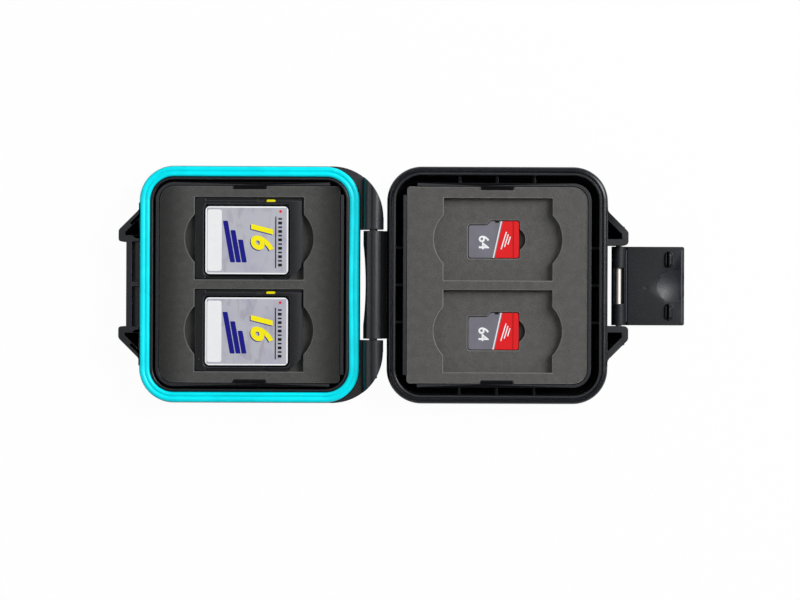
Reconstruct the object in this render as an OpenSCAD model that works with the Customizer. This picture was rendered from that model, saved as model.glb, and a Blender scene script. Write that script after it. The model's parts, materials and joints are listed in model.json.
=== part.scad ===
// Memory card case, lying open and flat: base with gasket on the left, lid with latch on the right.
// Both halves are drawn with the hinge axis at x = 0 and their body at +x, and the base is mirrored.

/* [Halves] */
// Length of a half, from its hinge wall to its latch wall
half_len = 65.6; // [65:0.1:70]
// Width of a half, along the hinge
half_w = 70.4; // [70:0.1:75]
// Radius of the corners, seen from above
corner_r = 10.3; // [9.5:0.1:11]
// Radius of the edge round the outer face
edge_r = 2.2; // [1.6:0.1:2.4]
// Thickness of the floor
floor_t = 1.8; // [1.4:0.1:2]
// Gap between the two rims when the case is shut
rim_gap = 0.1; // [0.1:0.05:0.3]

/* [Rims] */
// Width of the lid's rim
lid_rim_w = 2.6; // [2.3:0.1:2.8]
// Radius of the lid rim's outer edge
lid_edge_r = 0.65; // [0.4:0.05:0.7]
// Distance from the lid's outer face to the thin groove along its rim
rim_line_in = 1.4; // [1.3:0.05:1.5]
// Width of the thin groove along the lid's rim
rim_line_w = 0.44; // [0.3:0.02:0.5]
// Depth of the thin groove along the lid's rim
rim_line_d = 0.5; // [0.3:0.05:0.8]
// Width of the base's rim under the gasket
seat_w = 3.3; // [3.2:0.1:3.4]
// Height of the gasket above its seat
gasket_h = 1.9; // [1.7:0.1:2.2]
// Thickness of the lip that stands inside the gasket
lip_t = 0.85; // [0.7:0.05:0.9]
// Drop from the parting plane to the top of the lip
lip_drop = 0.45; // [0.3:0.05:0.8]
// Depth of the groove that holds the gasket's tongue
tongue_groove_d = 1.6; // [1.2:0.1:2]
// Width of the gasket's tongue
tongue_w = 1.0; // [0.8:0.1:1.2]
// Distance from the outer faces to the foam's space
tray_inset = 5.8; // [5.7:0.1:6]
// Thickness of the fence round the foam
fence_t = 1.0; // [0.8:0.1:1]
// Height of the fence above the foam
fence_rise = 0.4; // [0.2:0.1:0.8]
// Length of each bare corner of the fence on the hinge side, along the hinge wall
fence_gap_y = 2.6; // [2:0.1:4]
// Length of each bare corner of the fence on the hinge side, across the case
fence_gap_x = 3.2; // [2:0.1:4]
// Width of the tabs that key the foam
tab_w = 9.6; // [8:0.1:11]
// Depth of the tabs that key the foam
tab_d = 1.0; // [0.6:0.1:1.2]
// Spacing of the cross ribs in the lid's deep groove
rib_pitch = 11.1; // [9:0.1:12]
// Thickness of the cross ribs
rib_t = 0.6; // [0.5:0.1:0.9]
// Drop from the parting plane to the top of the cross ribs
rib_drop = 2.2; // [1.5:0.1:3]

/* [Hinge] */
// Gap between the hinge barrel and each half's wall
barrel_gap = 1; // [0.8:0.1:1.5]
// Radius of the hinge barrel
barrel_r = 3; // [2.8:0.1:3.2]
// Radius of the hinge pin
hinge_pin_r = 1.2; // [1:0.05:1.4]
// Half the length of the lid's middle knuckle
knuckle_y = 16; // [14:0.05:17]
// Gap between knuckles
knuckle_gap = 0.45; // [0.3:0.05:0.8]
// Radius of the base's corner round each end knuckle
shoulder_r = 15.2; // [15:0.1:15.4]
// Drop from the parting plane to the base's shoulders beside the hinge
shoulder_drop = 2.2; // [2:0.1:2.4]
// Depth of the scallop in the free side of the middle knuckle
scallop_d = 0.7; // [0.4:0.05:0.9]
// Length of the hinge pin
hinge_pin_l = 52.8; // [45:0.2:54]
// Distance from the open end of the pin's hole to the pin
pin_inset = 1.1; // [0.8:0.1:2]

/* [Latch] */
// Distance from the latch's pivot to the ears' ends
ear_end = 2.3; // [2.2:0.1:2.8]
// Gap between the latch and each of the lid's ears
latch_fit = 0.225; // [0.15:0.025:0.4]
// Distance that the base's ears start further out than the lid's
base_ear_shift = 0.6; // [0:0.1:0.8]
// Thickness of the ears' walls
ear_t = 1.9; // [1.7:0.05:2]
// Width of the lid ears' flat ends
ear_end_w = 4.05; // [3.8:0.05:4.5]
// Radius of the fillet where an ear's slope meets the wall
ear_fillet_r = 1.8; // [1:0.1:3]
// Drop from the parting plane to the top of the ears
ear_drop = 0.3; // [0.2:0.1:1]
// Height of the latch above the surface that the open case lies on
latch_foot = 0.7; // [0.5:0.05:0.9]
// Radius of the latch's barrel
latch_barrel_r = 2.2; // [2.1:0.05:2.3]
// Radius of the latch pin
latch_pin_r = 0.9; // [0.8:0.05:1]
// Width of the latch
latch_w = 23.55; // [22.5:0.05:23.6]
// Height of the shut latch's end above the base's outer face
latch_end_gap = 0.6; // [0.3:0.1:1.5]
// Thickness of the latch's plate
latch_t = 2; // [1.8:0.05:2]
// Rounding of the plate's edges on its inner face
latch_edge_r = 0.6; // [0.3:0.05:0.7]
// Length of the window in the latch's barrel
window_l = 10.8; // [8:0.1:12]
// Width of the window in the latch's barrel
window_w = 3; // [2.6:0.1:3.2]
// Gap between the shut hooks and the catch bar's lower edge
hook_fit = 0.25; // [0.2:0.05:0.4]
// Distance from the latch's side to the middle of each hook
hook_side = 3.975; // [3.4:0.025:4.6]
// Length of each hook
hook_l = 5.05; // [4:0.05:5.4]
// Radius of each hook's rounded ridge
hook_r = 1.35; // [1.2:0.05:1.4]
// Height of the hooks above the plate
hook_h = 1.2; // [1:0.05:1.25]
// Distance from the middle of the finger scoop to the latch's end
scoop_end = 4.5; // [4.3:0.1:5]
// Radius of the finger scoop, seen from above
scoop_r = 4.2; // [3.5:0.1:4.3]
// Depth of the finger scoop
scoop_d = 0.7; // [0.3:0.05:0.9]
// Distance from the pivot to the small round mark in the plate
gate_x = 8.1; // [6:0.1:9]
// Distance from the latch's end to the last grip groove under the plate
grip_end = 1.3; // [1:0.1:2]
// Number of grip grooves under the plate
grip_n = 5; // [3:1:6]
// Spacing of the grip grooves under the plate
grip_pitch = 1.5; // [1.2:0.1:1.8]
// Distance from the latch wall to the outside of the catch bar
bar_out = 3.8; // [3.5:0.1:4]
// Gap between the shut latch's plate and the catch bar
bar_fit = 0.2; // [0.15:0.05:0.4]
// Thickness of the catch bar
bar_t = 1.7; // [1.4:0.1:1.8]
// Distance from the parting plane to the lower edge of the catch bar
bar_reach = 4.6; // [4.2:0.1:4.7]
// Thickness of the ledge behind the catch bar
ledge_t = 1.35; // [1:0.05:1.4]
// Width of the rib that holds the middle of the catch bar
bar_rib_w = 1.45; // [1:0.05:2]
// Reach of the shelf below the catch bar
shelf_out = 3.7; // [2.8:0.1:3.8]

/* [Foam] */
// Drop from the parting plane to the foam
foam_drop = 1.8; // [1.6:0.1:2.4]
// Thickness of the foam's back sheet
foam_back_t = 4.2; // [3.8:0.1:5]
// Drop from the foam's top to a full-size card
sd_sink = 0.5; // [0.3:0.1:0.8]
// Drop from the middle sheet's top to a small card
micro_sink = 0.2; // [0.1:0.1:0.6]
// Gap between the foam and the fence
foam_fit = 0.1; // [0.1:0.05:0.3]
// Radius of the foam's corners on the hinge side
foam_square_r = 1; // [0.9:0.1:2]
// Gap round a card in its pocket
card_fit = 0.2; // [0.1:0.05:0.4]
// Share of the foam left between the tabs that lies between the two pockets
bar_share = 0.375; // [0.3:0.005:0.45]
// Shift of the pockets from the middle of the half, towards the latch
pocket_shift = 0.2; // [0:0.1:1]
// Radius of the finger notches
notch_r = 10.2; // [9:0.1:10.8]
// Reach of the finger notches beyond the pockets
notch_out = 2.9; // [2:0.1:3.5]
// Shift of the small card from its pocket's middle, towards the hinge
micro_shift = 1.2; // [0:0.1:2]
// Radius of the small card's thumb notch
micro_notch_r = 3.6; // [2.8:0.1:4]
// Reach of the thumb notch beyond the small card
micro_notch_out = 1.9; // [1.4:0.1:2.2]

/* [Cards] */
// Length of a full-size card
sd_len = 32; // [31:0.5:33]
// Width of a full-size card
sd_w = 24; // [23:0.5:25]
// Thickness of a full-size card
sd_t = 2.1; // [2:0.05:2.2]
// Thickness of a full-size card along its edges
sd_rail_t = 1.4; // [1.3:0.05:1.6]
// Width of the thinner edges
sd_rail_w = 0.75; // [0.5:0.05:0.9]
// Length of the cut corner
sd_cut = 4; // [3:0.1:5]
// Distance from the card's sides to the label
label_side = 1.7; // [1.2:0.1:2.5]
// Distance from the card's contact end to the label
label_front = 4.15; // [3:0.05:6]
// Distance from the card's other end to the label
label_back = 2.95; // [2:0.05:4]
// Thickness of the label
label_t = 0.12; // [0.1:0.01:0.2]
// Length of the lock tab
lock_l = 2.7; // [2:0.1:3]
// Width of the lock tab
lock_w = 1; // [0.8:0.05:1.2]
// Travel of the lock tab
lock_travel = 2.6; // [2:0.1:2.8]
// Distance from the contact end to the lock tab's notch
lock_x = 8.2; // [7:0.1:9]
// Length of a small card
micro_len = 15; // [14.5:0.1:15.5]
// Width of a small card
micro_w = 11; // [10.6:0.1:11.4]
// Thickness of a small card
micro_t = 0.75; // [0.7:0.05:0.9]
// Thickness of a small card along its grip edge
micro_grip_t = 1; // [0.9:0.05:1.1]
// Width cut away beside a small card's contacts
micro_step = 1.25; // [1:0.05:1.5]
// Length of a small card's wide end
micro_wide_l = 8.3; // [7:0.1:9]

/* [Outer faces] */
// Distance from the walls to the line round the outer face
panel_in = 8.4; // [5:0.1:10]
// Width of the line round the outer face
panel_line_w = 1.2; // [0.8:0.1:2]
// Depth of the cuts in the outer face
panel_cut_d = 0.5; // [0.2:0.1:0.8]
// Distance from the walls to the ends of the grip grooves
grooves_in = 20.2; // [15:0.1:25]
// Width of the grip grooves
groove_w = 1.4; // [1:0.1:2]
// Spacing of the grip grooves
groove_pitch = 4.5; // [3:0.1:6]

/* [Hidden] */
$fn = 64;
ARC = 6;
eps = 0.01;
run_fit = 0.05;
seat_fit = 0.02;

sd_pocket_d = sd_t + sd_sink;
micro_pocket_d = micro_grip_t + micro_sink;
half_h = floor_t + foam_back_t + micro_pocket_d + sd_pocket_d + foam_drop;
hinge_gap = barrel_r + barrel_gap;
half_mid = hinge_gap + half_len / 2;
latch_wall = hinge_gap + half_len;
pivot_z = latch_barrel_r + latch_foot;
pivot_out = bar_out + bar_fit + latch_t - latch_barrel_r;
pivot_x = latch_wall + pivot_out;
latch_len = 2 * half_h - pivot_z - latch_end_gap;
hook_x = half_h - pivot_z + bar_reach + hook_r + hook_fit;
hook_y = latch_w / 2 - hook_side;
scoop_x = latch_len - scoop_end;
ear_reach = pivot_out + ear_end;
ear_y = latch_w / 2 + latch_fit;
ear_slope_y = ear_y + ear_end_w + ear_reach;
shoulder_x = shoulder_r - barrel_r + 0.1;
shoulder_y = half_w / 2 - shoulder_r;
knuckle_end = shoulder_y + sqrt(shoulder_r * shoulder_r - shoulder_x * shoulder_x);
pin_y0 = pin_inset - knuckle_end;
mid_x = (pivot_x + latch_len - latch_wall - ear_reach) / 2;

rim_top = half_h - rim_gap / 2;
seat_z = half_h - gasket_h;
lip_in = seat_w + lip_t;
lip_z = half_h - lip_drop;
tongue_in = (seat_w - tongue_w) / 2;
foam_z = half_h - foam_drop;
fence_z = foam_z + fence_rise;
fence_out = tray_inset - fence_t;
ear_top = half_h - ear_drop;
ear_foot = 0.4;
ear_pocket_foot = 1.2;
shelf_foot = 0.9;
shelf_top = 2.6;
ledge_top = half_h - 2.5;

pocket_l = sd_len + 2 * card_fit;
pocket_w = sd_w + 2 * card_fit + 0.1;
pocket_bar = bar_share * (half_w - 2 * (tray_inset + foam_fit + tab_d + pocket_w));
pocket_x = half_mid + pocket_shift;
notch_x = pocket_l / 2 + notch_out - notch_r;
pocket_y = (pocket_w + pocket_bar) / 2;
sd_floor = foam_z - sd_pocket_d;
micro_floor = sd_floor - micro_pocket_d;
micro_x = pocket_x - micro_shift;
micro_notch_x = micro_len / 2 + micro_notch_out - micro_notch_r;
label_l = sd_len - label_front - label_back;
label_w = sd_w - 2 * label_side;
label_shift = (label_front - label_back) / 2;

black_plastic = [0.13, 0.14, 0.15];
foam_grey = [0.34, 0.34, 0.33];

// Points of an arc about [cx, cy].
function arc(cx, cy, r, from, to, n = ARC) =
    [for (i = [0:n]) let (a = from + (to - from) * i / n) [cx + r * cos(a), cy + r * sin(a)]];

function unit(v) = v / norm(v);

// Arc of radius r that is tangent to both sides of the corner p-q-s.
function corner_arc(p, q, s, r, n) =
    let (a = unit(p - q), b = unit(s - q), half = acos(a * b) / 2,
        c = q + unit(a + b) * r / sin(half),
        from = q + a * r / tan(half) - c, to = q + b * r / tan(half) - c,
        a0 = atan2(from.y, from.x), turn = (atan2(to.y, to.x) - a0 + 540) % 360 - 180)
    [for (i = [0:n]) c + r * [cos(a0 + turn * i / n), sin(a0 + turn * i / n)]];

// Outline through [x, y, r] corners, each rounded to its own radius r.
function rounded(v, n = ARC) =
    [for (i = [0:len(v) - 1])
        let (q = v[i], p = v[(i + len(v) - 1) % len(v)], s = v[(i + 1) % len(v)])
        each q[2] > 0 ? corner_arc([p.x, p.y], [q.x, q.y], [s.x, s.y], q[2], n) : [[q.x, q.y]]];

// Moves what is drawn about the hinge axis into the part's frame, for the lid and for the base.
module in_lid() translate([-mid_x, 0, 0]) children();
module in_base() translate([-mid_x, 0, 0]) mirror([1, 0, 0]) children();

// A half's outline, drawn in from its walls by inset.
module outline(inset = 0) {
    r = corner_r - inset;
    x = half_len / 2 - corner_r;
    y = half_w / 2 - corner_r;
    translate([half_mid, 0]) {
        square([2 * (x + r), 2 * y], center = true);
        square([2 * x, 2 * (y + r)], center = true);
        for (sx = [-1, 1], sy = [-1, 1]) translate([sx * x, sy * y]) circle(r);
    }
}

// Carries a wall's section, [distance in from the wall's face, height], once round a half.
module wall_sweep(section) {
    for (k = [0:3]) {
        run = (k % 2 == 0 ? half_len : half_w) - 2 * corner_r;
        reach = (k % 2 == 0 ? half_w : half_len) / 2;
        translate([half_mid, 0, 0]) rotate(90 * k) {
            translate([-run / 2, reach, 0]) rotate([90, 0, 90])
                linear_extrude(run) polygon([for (p = section) [-p.x, p.y]]);
            translate([run / 2, reach - corner_r, 0])
                rotate_extrude(angle = 90) polygon([for (p = section) [corner_r - p.x, p.y]]);
        }
    }
}

// Section of the edge round the outer face, from its flat to the upright wall.
function foot_edge() = arc(edge_r, edge_r, edge_r, 270, 180);

function lid_section() = concat(
    [[lid_rim_w, 0]], foot_edge(),
    arc(lid_edge_r, rim_top - lid_edge_r, lid_edge_r, 180, 90),
    [[rim_line_in, rim_top]],
    arc(rim_line_in + rim_line_w / 2, rim_top - rim_line_d + rim_line_w / 2, rim_line_w / 2, 180, 360),
    [[rim_line_in + rim_line_w, rim_top]],
    arc(lid_rim_w - 0.35, rim_top - 0.35, 0.35, 90, 0));

function base_section() = concat(
    [[lip_in, 0]], foot_edge(),
    arc(0.3, seat_z - 0.3, 0.3, 180, 90),
    [[tongue_in, seat_z], [tongue_in, seat_z - tongue_groove_d],
        [tongue_in + tongue_w, seat_z - tongue_groove_d], [tongue_in + tongue_w, seat_z],
        [seat_w, seat_z]],
    arc(seat_w + 0.3, lip_z - 0.3, 0.3, 180, 90),
    arc(lip_in - 0.3, lip_z - 0.3, 0.3, 90, 0));

// Two round ridges with a valley nearer the inside, over a flat foot and a tongue.
function gasket_section() =
    let (top = rim_top, t0 = tongue_in + run_fit, t1 = tongue_in + tongue_w - run_fit,
        inner = seat_w - run_fit, foot = seat_z - tongue_groove_d + 0.1)
    concat(
        [[0.2, seat_z]],
        arc(0.95, top - 0.75, 0.75, 180, 30),
        [[1.87, top - 0.55]],
        arc(inner - 0.6, top - 0.6, 0.6, 150, 0),
        [[inner, seat_z], [t1, seat_z], [t1, foot], [t0, foot], [t0, seat_z]]);

// The outline again, with square corners on the hinge side.
module tray_outline(inset) {
    outline(inset);
    translate([hinge_gap + inset, inset - half_w / 2]) square([corner_r, half_w - 2 * inset]);
}

// Fence round the foam, bare at its hinge-side corners, with a tab on each long side.
module fence() {
    linear_extrude(fence_z) {
        difference() {
            tray_outline(fence_out);
            tray_outline(tray_inset);
            for (s = [-1, 1])
                translate([hinge_gap, s > 0 ? half_w / 2 - tray_inset - fence_gap_y : -half_w / 2])
                    square([tray_inset + fence_gap_x, tray_inset + fence_gap_y]);
        }
        for (s = [-1, 1])
            translate([half_mid, s * (half_w / 2 - tray_inset - tab_d / 2 + fence_t / 4)])
                square([tab_w, tab_d + fence_t / 2], center = true);
    }
}

// Cuts in the outer face: a line round a flat panel, and a row of grip grooves.
module outer_face_cuts() {
    groove_l = half_w - 2 * grooves_in;
    translate([0, 0, -eps]) linear_extrude(panel_cut_d + eps) {
        difference() {
            outline(panel_in);
            outline(panel_in + panel_line_w);
        }
        for (i = [-2.5:1:2.5]) translate([half_mid + i * groove_pitch, 0]) {
            square([groove_w, groove_l - groove_w], center = true);
            for (s = [-1, 1]) translate([0, s * (groove_l - groove_w) / 2]) circle(groove_w / 2);
        }
    }
}

// One ear that starts y from the centre line, with a pocket open towards the parting plane.
module ear(y, corner) {
    slope = ear_slope_y;
    inner_slope = slope - ear_t * sqrt(2);
    difference() {
        translate([latch_wall, 0, ear_foot]) linear_extrude(ear_top - ear_foot)
            polygon(rounded([[-1, y, 0], [ear_reach, y, corner], [ear_reach, slope - ear_reach, 1.4],
                [0, slope, ear_fillet_r], [0, slope + 2, 0], [-1, slope + 2, 0]]));
        translate([latch_wall, 0, ear_pocket_foot]) linear_extrude(half_h)
            polygon([[0, y + ear_t], [ear_reach - ear_t, y + ear_t],
                [ear_reach - ear_t, inner_slope - ear_reach + ear_t], [0, inner_slope]]);
    }
}

module both_ears(y, corner) {
    ear(y, corner);
    mirror([0, 1, 0]) ear(y, corner);
}

// A cylinder along y, from y0 to y1.
module rod_y(r, y0, y1) translate([0, y1, 0]) rotate([90, 0, 0]) cylinder(r = r, h = y1 - y0);

// Catch bar between the base's ears, its ledge, its middle rib and the shelf below it.
module catch_bar() {
    bar_foot = half_h - bar_reach;
    span = 2 * (ear_y + base_ear_shift) + 1;
    translate([latch_wall + bar_out - bar_t, -span / 2, bar_foot]) cube([bar_t, span, ear_top - bar_foot]);
    translate([latch_wall - 1, -span / 2, shelf_foot]) cube([1 + ledge_t, span, ledge_top - shelf_foot]);
    translate([latch_wall - 1, -bar_rib_w / 2, bar_foot])
        cube([1 + bar_out - bar_t / 2, bar_rib_w, ear_top - 0.3 - bar_foot]);
    translate([latch_wall - 1, -span / 2, shelf_foot]) cube([1 + shelf_out, span, shelf_top - shelf_foot]);
}

// Solid shoulder and end knuckle of the base on the +y side, rounded off by the shoulder's own corner.
module end_knuckle() {
    y0 = knuckle_y + knuckle_gap;
    cx = shoulder_x;
    cy = shoulder_y;
    block_in = barrel_r - 0.1;
    foot = edge_r + 0.3;
    intersection() {
        linear_extrude(half_h + 2 * barrel_r) {
            translate([-2 * barrel_r, y0]) square([cx + 3 * barrel_r, cy - y0]);
            intersection() {
                translate([cx, cy]) circle(shoulder_r);
                translate([-2 * barrel_r, cy - 1]) square([cx + 3 * barrel_r, half_w / 2]);
            }
        }
        union() {
            translate([0, half_w / 2, 0]) rotate([90, 0, 0]) linear_extrude(half_w / 2)
                polygon([[-block_in, half_h], [-block_in, half_h - 4.2], [hinge_gap, foot],
                    [cx + barrel_r, foot], [cx + barrel_r, half_h - shoulder_drop],
                    [hinge_gap, half_h - shoulder_drop], [barrel_r * 0.4, half_h - barrel_r * 0.87]]);
            translate([0, 0, half_h]) rod_y(barrel_r, 0, half_w / 2);
        }
    }
}

// Pin hole from the -y end, open there and blind at the other.
module hinge_bore(r) translate([0, 0, half_h]) rod_y(r, -half_w / 2, pin_y0 + hinge_pin_l + 0.3);

module base_shell() color(black_plastic) in_base() difference() {
    union() {
        wall_sweep(base_section());
        linear_extrude(floor_t) outline(lip_in - 0.2);
        fence();
        difference() {
            union() {
                both_ears(ear_y + base_ear_shift, 0.8);
                catch_bar();
                end_knuckle();
                mirror([0, 1, 0]) end_knuckle();
            }
            rim_room();
        }
    }
    hinge_bore(hinge_pin_r + seat_fit);
    outer_face_cuts();
    lip_relief();
}

// Room inside the base's walls: over the seat, for the gasket's tongue and over the floor.
module rim_room() {
    translate([0, 0, seat_z - eps]) linear_extrude(half_h) outline(eps);
    translate([0, 0, floor_t]) linear_extrude(half_h) outline(lip_in - 0.2);
    translate([0, 0, seat_z - tongue_groove_d]) linear_extrude(half_h) difference() {
        outline(tongue_in);
        outline(tongue_in + tongue_w);
    }
}

// Short gap in the lip, in the corner beside the catch on the +y side.
module lip_relief() {
    from = 3;
    to = 36;
    reach = 2 * corner_r;
    translate([latch_wall - corner_r, half_w / 2 - corner_r, seat_z + 0.2]) linear_extrude(half_h) difference() {
        intersection() {
            circle(corner_r - seat_w + 0.15);
            polygon([[0, 0], reach * [cos(from), sin(from)], reach * [cos(to), sin(to)]]);
        }
        circle(corner_r - lip_in - 0.15);
    }
}

// Thin ribs across the lid's deep groove, three on each side.
module cross_ribs() {
    span = fence_out - lid_rim_w + 1;
    for (i = [-1:1]) {
        for (s = [-1, 1])
            translate([half_mid + i * rib_pitch - rib_t / 2,
                s > 0 ? half_w / 2 - lid_rim_w + 0.5 - span : -half_w / 2 + lid_rim_w - 0.5, floor_t - eps])
                cube([rib_t, span, half_h - rib_drop - floor_t]);
        for (x = [hinge_gap + lid_rim_w - 0.5, latch_wall - lid_rim_w + 0.5 - span])
            translate([x, i * rib_pitch - rib_t / 2, floor_t - eps])
                cube([span, rib_t, half_h - rib_drop - floor_t]);
    }
}

// Middle knuckle of the lid with its web, scalloped on its free side.
module middle_knuckle() {
    scallop_half = 12;
    scallop_r = (scallop_half * scallop_half + scallop_d * scallop_d) / (2 * scallop_d);
    difference() {
        union() {
            translate([0, 0, half_h]) rod_y(barrel_r, -knuckle_y, knuckle_y);
            translate([0, knuckle_y, 0]) rotate([90, 0, 0]) linear_extrude(2 * knuckle_y)
                polygon([[barrel_r - 1.2, half_h - 1.2], [hinge_gap + 0.5, half_h - 1.2],
                    [hinge_gap + 0.5, edge_r + 0.6], [-barrel_r * 0.6, half_h - barrel_r * 0.75]]);
        }
        translate([-barrel_r - scallop_r + scallop_d, 0, 0]) cylinder(r = scallop_r, h = 2 * half_h, $fn = 128);
        hinge_bore(hinge_pin_r + run_fit);
    }
}

module latch_bore(r) translate([pivot_x, 0, pivot_z]) rod_y(r, -ear_slope_y, ear_y + ear_t + 1.8);

module lid_shell() color(black_plastic) in_lid() difference() {
    union() {
        wall_sweep(lid_section());
        linear_extrude(floor_t) outline(lid_rim_w - 0.2);
        fence();
        cross_ribs();
        both_ears(ear_y, 1.2);
        middle_knuckle();
        for (s = [-1, 1]) translate([pivot_x, 0, pivot_z])
            rod_y(latch_pin_r + 0.9, s > 0 ? ear_y + 1 : -ear_slope_y + pivot_out + 0.6,
                s > 0 ? ear_slope_y - pivot_out - 0.6 : -ear_y - 1);
    }
    latch_bore(latch_pin_r + seat_fit);
    outer_face_cuts();
}

module gasket() color([0, 0.85, 0.92]) in_base() wall_sweep(gasket_section());

module hinge_pin() color("silver") in_base()
    translate([0, 0, half_h]) rod_y(hinge_pin_r, pin_y0, pin_y0 + hinge_pin_l);

// Side view of the plate about the pivot: a narrow groove beside the barrel, rounded edges above.
function latch_side() =
    let (top = latch_t - latch_barrel_r, r = latch_edge_r, root = latch_barrel_r + 0.1, end = latch_len)
    concat(
        [[0, -latch_barrel_r]],
        arc(end - 0.3, -latch_barrel_r + 0.3, 0.3, 270, 360),
        arc(end - r, top - r, r, 0, 90),
        arc(root + r, top - r, r, 90, 180),
        [[0, top - r]]);

module latch() color(black_plastic) in_lid() translate([pivot_x, 0, pivot_z]) {
    face = latch_t - latch_barrel_r;
    scoop_ball = (scoop_r * scoop_r + scoop_d * scoop_d) / (2 * scoop_d);
    difference() {
        union() {
            rod_y(latch_barrel_r, -latch_w / 2, latch_w / 2);
            intersection() {
                translate([0, latch_w / 2, 0]) rotate([90, 0, 0]) linear_extrude(latch_w) polygon(latch_side());
                translate([0, 0, -latch_barrel_r - 1]) linear_extrude(latch_t + 2)
                    polygon(rounded([[-1, -latch_w / 2, 0], [latch_len, -latch_w / 2, 0.6],
                        [latch_len, latch_w / 2, 0.6], [-1, latch_w / 2, 0]]));
            }
            for (s = [-1, 1]) translate([hook_x, s * hook_y, face + hook_h - hook_r]) {
                rod_y(hook_r, -hook_l / 2 + hook_r, hook_l / 2 - hook_r);
                for (e = [-1, 1]) translate([0, e * (hook_l / 2 - hook_r), 0]) sphere(hook_r);
            }
        }
        rod_y(latch_pin_r + run_fit, -latch_w, latch_w);
        translate([-window_w / 2, -window_l / 2, -1]) cube([window_w, window_l, 2 * latch_barrel_r]);
        translate([scoop_x, 0, face + scoop_ball - scoop_d]) sphere(scoop_ball);
        translate([gate_x, -0.3, face - 0.15]) cylinder(r = 0.6, h = 1);
        for (i = [1:grip_n]) translate([latch_len - grip_end - i * grip_pitch, -latch_w / 2 - 1, -latch_barrel_r - eps])
            cube([0.6, latch_w + 2, 0.35 + eps]);
    }
}

module latch_pin() color("silver") in_lid() translate([pivot_x, 0, pivot_z])
    rod_y(latch_pin_r, -ear_y - ear_t - 1.5, ear_y + ear_t + 1.5);

// Foam blank between two heights, keyed to the fence's tabs.
module foam_blank(from, to) {
    inset = tray_inset + foam_fit;
    x0 = hinge_gap + inset;
    x1 = latch_wall - inset;
    y = half_w / 2 - inset;
    r = corner_r - inset;
    translate([0, 0, from]) linear_extrude(to - from) difference() {
        polygon(rounded([[x0, -y, foam_square_r], [x1, -y, r], [x1, y, r], [x0, y, foam_square_r]]));
        for (s = [-1, 1]) translate([half_mid, s * y])
            square([tab_w + 2 * foam_fit, 2 * tab_d], center = true);
    }
}

module at_pockets() for (s = [-1, 1]) translate([pocket_x, s * pocket_y, 0]) children();

module foam_top() color(foam_grey) difference() {
    foam_blank(sd_floor, foam_z);
    at_pockets() translate([0, 0, sd_floor - eps]) linear_extrude(sd_pocket_d + 2 * eps) {
        square([pocket_l, pocket_w], center = true);
        for (s = [-1, 1]) translate([s * notch_x, 0]) circle(notch_r);
    }
}

module foam_middle() color(foam_grey) difference() {
    foam_blank(micro_floor, sd_floor);
    at_pockets() translate([-micro_shift, 0, micro_floor - eps]) linear_extrude(micro_pocket_d + 2 * eps) {
        polygon(micro_outline(card_fit));
        translate([micro_notch_x, 0]) circle(micro_notch_r);
    }
}

module foam_back() color(foam_grey) foam_blank(floor_t, micro_floor);

// Outline of a small card, grown by grow, its contacts towards -x and its step on the +y side.
function micro_outline(grow = 0) =
    let (x = micro_len / 2 + grow, y = micro_w / 2 + grow, s = micro_step, wide = micro_wide_l + grow, r = 0.7)
    rounded([[-x, -y, r], [x, -y, r], [x, y, r], [x - wide, y, 0.3], [x - wide - s, y - s, 0.3], [-x, y - s, r]], 4);

module microsd() color("gray") translate([micro_x, 0, micro_floor]) {
    grip_l = 1.6;
    difference() {
        union() {
            linear_extrude(micro_t) polygon(micro_outline());
            intersection() {
                linear_extrude(micro_grip_t) polygon(micro_outline());
                translate([micro_len / 2 - grip_l, -micro_w, 0]) cube([grip_l + 1, 2 * micro_w, micro_grip_t]);
            }
        }
        translate([0.35, micro_w / 2 - 0.5, -eps]) cube([1.2, 1, micro_grip_t + 1]);
        micro_pad_row(-eps);
    }
}

// Eight contact pads side by side across the narrow end, from foot up into the card.
module micro_pad_row(foot) {
    pitch = 1.1;
    pad_t = 0.1;
    for (i = [0:7])
        translate([-micro_len / 2 + 0.8, -micro_w / 2 + 0.75 + i * pitch, foot]) cube([2.9, 0.8, pad_t - foot]);
}

module microsd_pads() color("gold") translate([micro_x, 0, micro_floor]) micro_pad_row(0);

// Outline of a full-size card, its contacts towards -x and its cut corner on the -y side.
function sd_outline() =
    let (x = sd_len / 2, y = sd_w / 2)
    rounded([[-x, -y + sd_cut, 0.5], [-x + sd_cut, -y, 0.5], [x, -y, 1], [x, y, 1], [-x, y, 1]], 4);

sd_split = 1;

// Notch for the lock tab, and the groove that its tongue runs in.
module lock_notch() {
    x0 = -sd_len / 2 + lock_x;
    slot = lock_l + lock_travel + 0.1;
    translate([x0 - 0.05, sd_w / 2 - lock_w - 0.1, -1]) cube([slot, lock_w + 1, sd_t + 2]);
    translate([x0 - 0.05, sd_w / 2 - lock_w - 0.7, sd_split - 0.3]) cube([slot, lock_w, 0.6]);
}

// Room inside the card for its board, with a wall left all round and beside the lock tab.
module board_room(clear) {
    back = 2.8;
    front = 1.2;
    cut_side = 3.6;
    lock_side = 2.8;
    translate([-sd_len / 2 + front + clear, -sd_w / 2 + cut_side + clear, sd_split - 0.5 + clear])
        cube([sd_len - front - back - 2 * clear, sd_w - cut_side - lock_side - 2 * clear, 0.6 - 2 * clear]);
}

// Windows over the contacts in the underside of the card.
module contact_windows() {
    cut_side = 4.35;
    lock_side = 2.85;
    pitch = (sd_w - cut_side - lock_side) / 8;
    rib = 0.5;
    for (i = [0:7])
        translate([1.6 - sd_len / 2, cut_side + (rib - sd_w) / 2 + i * pitch, -eps])
            cube([4.2, pitch - rib, sd_split - 0.4]);
}

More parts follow.
